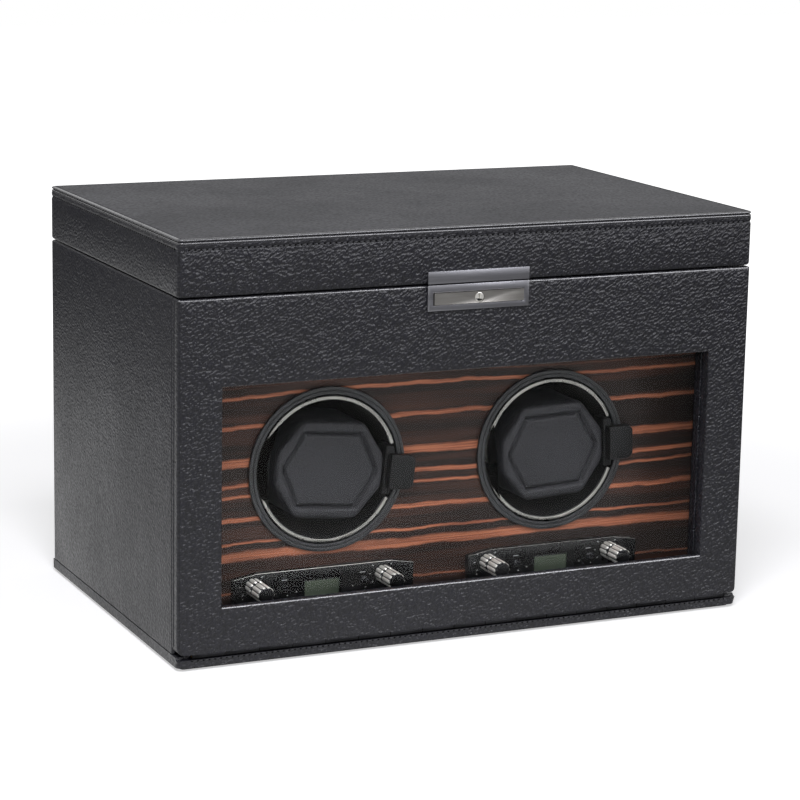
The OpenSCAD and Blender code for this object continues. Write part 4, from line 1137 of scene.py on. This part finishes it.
def makeCuffs():
    look = cuffLook
    front, deep, s = look["front"], look["deep"], look["shrink"]
    deselect()
    bpy.ops.mesh.primitive_circle_add(vertices=8, radius=0.03, fill_type="NGON", rotation=(math.pi / 2, 0, 0))
    pad = settled("cuffMaster")
    ordered = sorted(pad.data.vertices, key=lambda v: -math.atan2(v.co.z, v.co.x))
    for v, (x, z) in zip(ordered, sorted(hexagon(s), key=lambda c: -math.atan2(c[1], c[0]))):
        v.co = Vector((x, front + s, z)) * mm
    editAll(pad)
    bpy.ops.mesh.extrude_region_move(TRANSFORM_OT_translate={"value": (0, (deep - 2 * s) * mm, 0)})
    bpy.ops.mesh.select_all(action="SELECT")
    bpy.ops.mesh.normals_make_consistent(inside=False)
    leaveEdit()
    bevelEdges(pad, 3.0, 4, lambda a, b: abs(a.y - b.y) > 1)
    roundEdges(pad, 2.4, 4, 40)
    cutAway(pad, [addBlock("cutBeam", *look["beam"])])

    slotHalf, slotFront, slotBack = look["pinSlot"]

    def pinned(p):
        return (p.y > front + deep - look["pinBack"] or abs(p.z) < slotHalf and slotFront < p.y < slotBack
                or p.y < front + look["pinFront"] and abs(insideBy(p.x, p.z)) < look["pinSeam"])

    stuff(pad, look, pinned)

    def seam(p):
        # presses the seam in and drops the inner panel a little behind the border
        if p.y > front + 7:
            return p
        d = insideBy(p.x, p.z)
        groove = look["seamDeep"] * math.exp(-(d / look["seamWide"]) ** 2)
        return Vector((p.x, p.y + groove + look["panelDrop"] / (1 + math.exp(-d / 0.5)), p.z))

    moveVertices(pad, seam)
    smooth(pad, 80)
    stitches = []
    for x, z, angle in innerRing(look["stitchIn"], look["stitchPitch"]):
        stitch = addStitch("cuffStitch", *look["stitch"])
        turn(stitch, -angle)
        shift(stitch, (x, front + look["stitchY"], z))
        stitches.append(stitch)
    stitches = joinPieces("cuffStitches", stitches)
    smooth(stitches)
    for name, x, lean in look["places"]:
        cuff, sewn = copyPiece(pad, name + "CuffPad"), copyPiece(stitches, name + "CuffStitches")
        for piece in (cuff, sewn):
            turn(piece, math.radians(lean))
            shift(piece, (x, 0, look["drumZ"]))
        dress(cuff, cuffLeather, name + "_drum", "cuff_leather", name + "_cuff_pad")
        dress(sewn, threadGrey, name + "_drum", "cuff_leather")
    discard(pad, stitches)


makeCuffs()
print("cuffs made")


# tray, pillows and the lid's padded lining

pillowLook = {"half": 34.4, "deep": 26.6, "low": 158.0, "high": 189.0, "shrink": 1.8, "voxel": 2.6, "pressure": 4.0,
              "frames": 20, "cap": 4.0, "round": 8.0, "xs": (-105.4, 0.0, 105.4), "y": -39.3}
linerLook = {"halfX": 159.5, "halfY": 96.5, "low": 214.0, "high": 216.5, "roll": 1.9,
             "steps": (0.5, 1.2, 2.4, 4.5, 8, 14, 24, 40, 70, 110)}


def makePillows():
    look = pillowLook
    low, s = look["low"], look["shrink"]
    pillow = addBlock("pillowMaster", (-look["half"] + s, -look["deep"] + s, low + 0.2),
                      (look["half"] - s, look["deep"] - s, look["high"] - s))
    bevelEdges(pillow, look["round"], 5, lambda a, b: abs(a.x - b.x) > 10)
    roundEdges(pillow, 1.6, 3, 40)
    stuff(pillow, look, lambda p: p.z < low + 1.5 or abs(abs(p.x) - look["half"] + s) < 1.4)
    moveVertices(pillow, lambda p: (p.x, p.y, max(p.z, low + 0.05)))
    smooth(pillow, 80)
    pillows = []
    for x in look["xs"]:
        pillows.append(copyPiece(pillow, "watchPillow"))
        shift(pillows[-1], (x, look["y"], 0))
    discard(pillow)
    pillows = joinPieces("watchPillows", pillows)
    dress(pillows, lining, "cabinet", "lining", "watch_pillows")


def makeLiner():
    look = linerLook
    wide, deep = look["halfX"], look["halfY"]
    liner = addBlock("lidLining", (-wide, -deep, look["low"]), (wide, deep, look["high"]))
    for axis, half in (("X", wide), ("Y", deep)):
        slices(liner, axis, [s * (half - d) for s in (-1, 1) for d in look["steps"] if d < half])

    def puff(p):
        if p.z > look["low"] + 1:
            return p
        edge = min(wide - abs(p.x), deep - abs(p.y))
        return Vector((p.x, p.y, p.z + rollDrop(edge, look["roll"]) + 0.6 * math.exp(-edge / 9) - 0.7))

    moveVertices(liner, puff)
    smooth(liner, 60)
    dress(liner, lining, "lid", "lining", "lid_liner")


dressNodes(3, ("storage_tray", "storageTray", lining, 0.7, "cabinet", "lining"))
makePillows()
makeLiner()
print("tray and lining made")


# hinges, power socket and the drive behind the fascia

dressNodes(2, ("lid_hinge_base_leaves", "lidHingeCabinetLeaves", brass, 0.15, "cabinet", "hinge_brass"),
           ("lid_hinge_lid_leaves", "lidHingeLidLeaves", brass, 0.15, "lid", "hinge_brass"),
           ("door_hinge_base_leaf", "doorHingeCabinetLeaf", blackSteel, 0.12, "cabinet", "hinge_black"),
           ("door_hinge_door_leaf", "doorHingeDoorLeaf", blackSteel, 0.12, "door", "hinge_black"),
           ("dc_jack", "powerSocket", satinBlack, 0.3, "cabinet", "satin_black"))
for node, material in (("hinge_pins", brass), ("bearings", bronze), ("motors", steel), ("belts", beltRubber),
                       ("circuit_board", boardGreen), ("left_drum_pulley", pulleyWhite),
                       ("right_drum_pulley", pulleyWhite), ("left_motor_pulley", brass),
                       ("right_motor_pulley", brass)):
    paint(nodes[node], material)
print("hardware made")


# floor, lamps and world

studio = {"floorSize": 8.0, "floorTone": 0.8, "mirrorTone": 0.04,  # mirrorTone: the floor as a highlight sees it
          "liftNear": 0.5, "liftFar": 1.0, "liftFrom": 0.35, "liftTo": 0.9,  # metres out from the box
          # what a sheen sees of the floor: a glow that only glossy rays see, brightest to the left of the box and dark
          # further out, a painted reflection
          "sheenMiddle": (0.3, -0.15, 0), "sheenNear": 1.25, "sheenFar": 0.05, "sheenFrom": 0.3, "sheenTo": 0.95,
          "lamps": [("leftBox", (-1.7, -0.2, 0.6), (0, 0, 0.1), (1.0, 0.8), 1.0),
                    ("topBox", (-0.5, -1.0, 1.6), (0, 0, 0.1), (0.7, 0.5), 22.5),
                    ("frontBox", (0.95, -2.0, 1.0), (0, 0, 0.09), (0.5, 1.1), 6.5),
                    ("edgeBox", (0.85, -1.3, 1.15), (0, 0, 0.1), (1.1, 0.9), 26.0)],
          "lampTone": (0.95, 0.95, 1.0), "mirrorOnly": ("edgeBox",),  # a softbox that only highlights see
          # dark cards that only reflections see: corners in millimetres
          "cards": [("backCard", (-2000, 1400, -5), (-250, 1405, 550)),
                    ("frontCard", (-300, -1705, -5), (1900, -1700, 480))],
          "fill": 0.2}


def makeStudio():
    deselect()
    bpy.ops.mesh.primitive_plane_add(size=studio["floorSize"], location=(0, 0, -0.0002))
    floor = settled("studioFloor")
    f = Finish("floorWhite")
    work = f.w
    tones = [(studio[key],) * 3 + (1,) for key in ("floorTone", "mirrorTone")]
    path = work.add("ShaderNodeLightPath").outputs
    away = [work.add("ShaderNodeVectorMath", operation="LENGTH") for ring in ("lift", "sheen")]
    work.put(away[0].inputs[0], f.place)
    work.put(away[1].inputs[0], work.stretch(f.place, (1, 1, 1), studio["sheenMiddle"]))
    lift, shine = (work.spread(node.outputs["Value"], *(studio[ring + end] for end in ("From", "To", "Near", "Far")))
                   for node, ring in zip(away, ("lift", "sheen")))
    direct = work.math("MAXIMUM", path["Is Camera Ray"], path["Is Transmission Ray"])
    # reflections see the floor in the dark mirrorTone plus the sheen glow: a painted reflection; the camera sees the
    # pale floor with its lift
    f.set(color=work.mix(path["Is Glossy Ray"], *tones), rough=0.9, specular=0.0, glow=(1, 1, 1),
          glowStrength=work.plus(work.times(direct, lift), work.times(path["Is Glossy Ray"], shine)))
    paint(floor, f.material)
    dark = Finish("cardBlack")
    dark.set(color=(0.01, 0.01, 0.01), rough=0.9)
    for name, low, high in studio["cards"]:
        card = addBlock(name, low, high)
        paint(card, dark.material)
        for part in ("camera", "diffuse", "transmission", "shadow", "volume_scatter"):
            setattr(card, "visible_" + part, False)
    for name, spot, target, size, power in studio["lamps"]:
        data = bpy.data.lights.new(name, "AREA")
        data.shape = "RECTANGLE"
        data.size, data.size_y = size
        data.energy = power
        data.color = studio["lampTone"]
        lamp = bpy.data.objects.new(name, data)
        lamp.location = spot
        lamp.rotation_euler = (Vector(target) - Vector(spot)).to_track_quat("-Z", "Y").to_euler()
        lamp.visible_diffuse = name not in studio["mirrorOnly"]
        lamp.visible_transmission = False
        bpy.context.scene.collection.objects.link(lamp)
    world = bpy.data.worlds.new("studioWorld")
    bpy.context.scene.world = world
    world.use_nodes = True
    work = Nodes(world.node_tree)
    back = world.node_tree.nodes["Background"]
    path = work.add("ShaderNodeLightPath").outputs
    seen = work.math("MAXIMUM", path["Is Camera Ray"], path["Is Glossy Ray"])
    seen = work.math("MAXIMUM", seen, path["Is Transmission Ray"])
    back.inputs["Color"].default_value = (1, 1, 1, 1)
    work.put(back.inputs["Strength"], work.math("MAXIMUM", seen, studio["fill"]))
    bpy.context.scene.view_settings.view_transform = "Standard"


makeStudio()
print("studio made")

deselect()
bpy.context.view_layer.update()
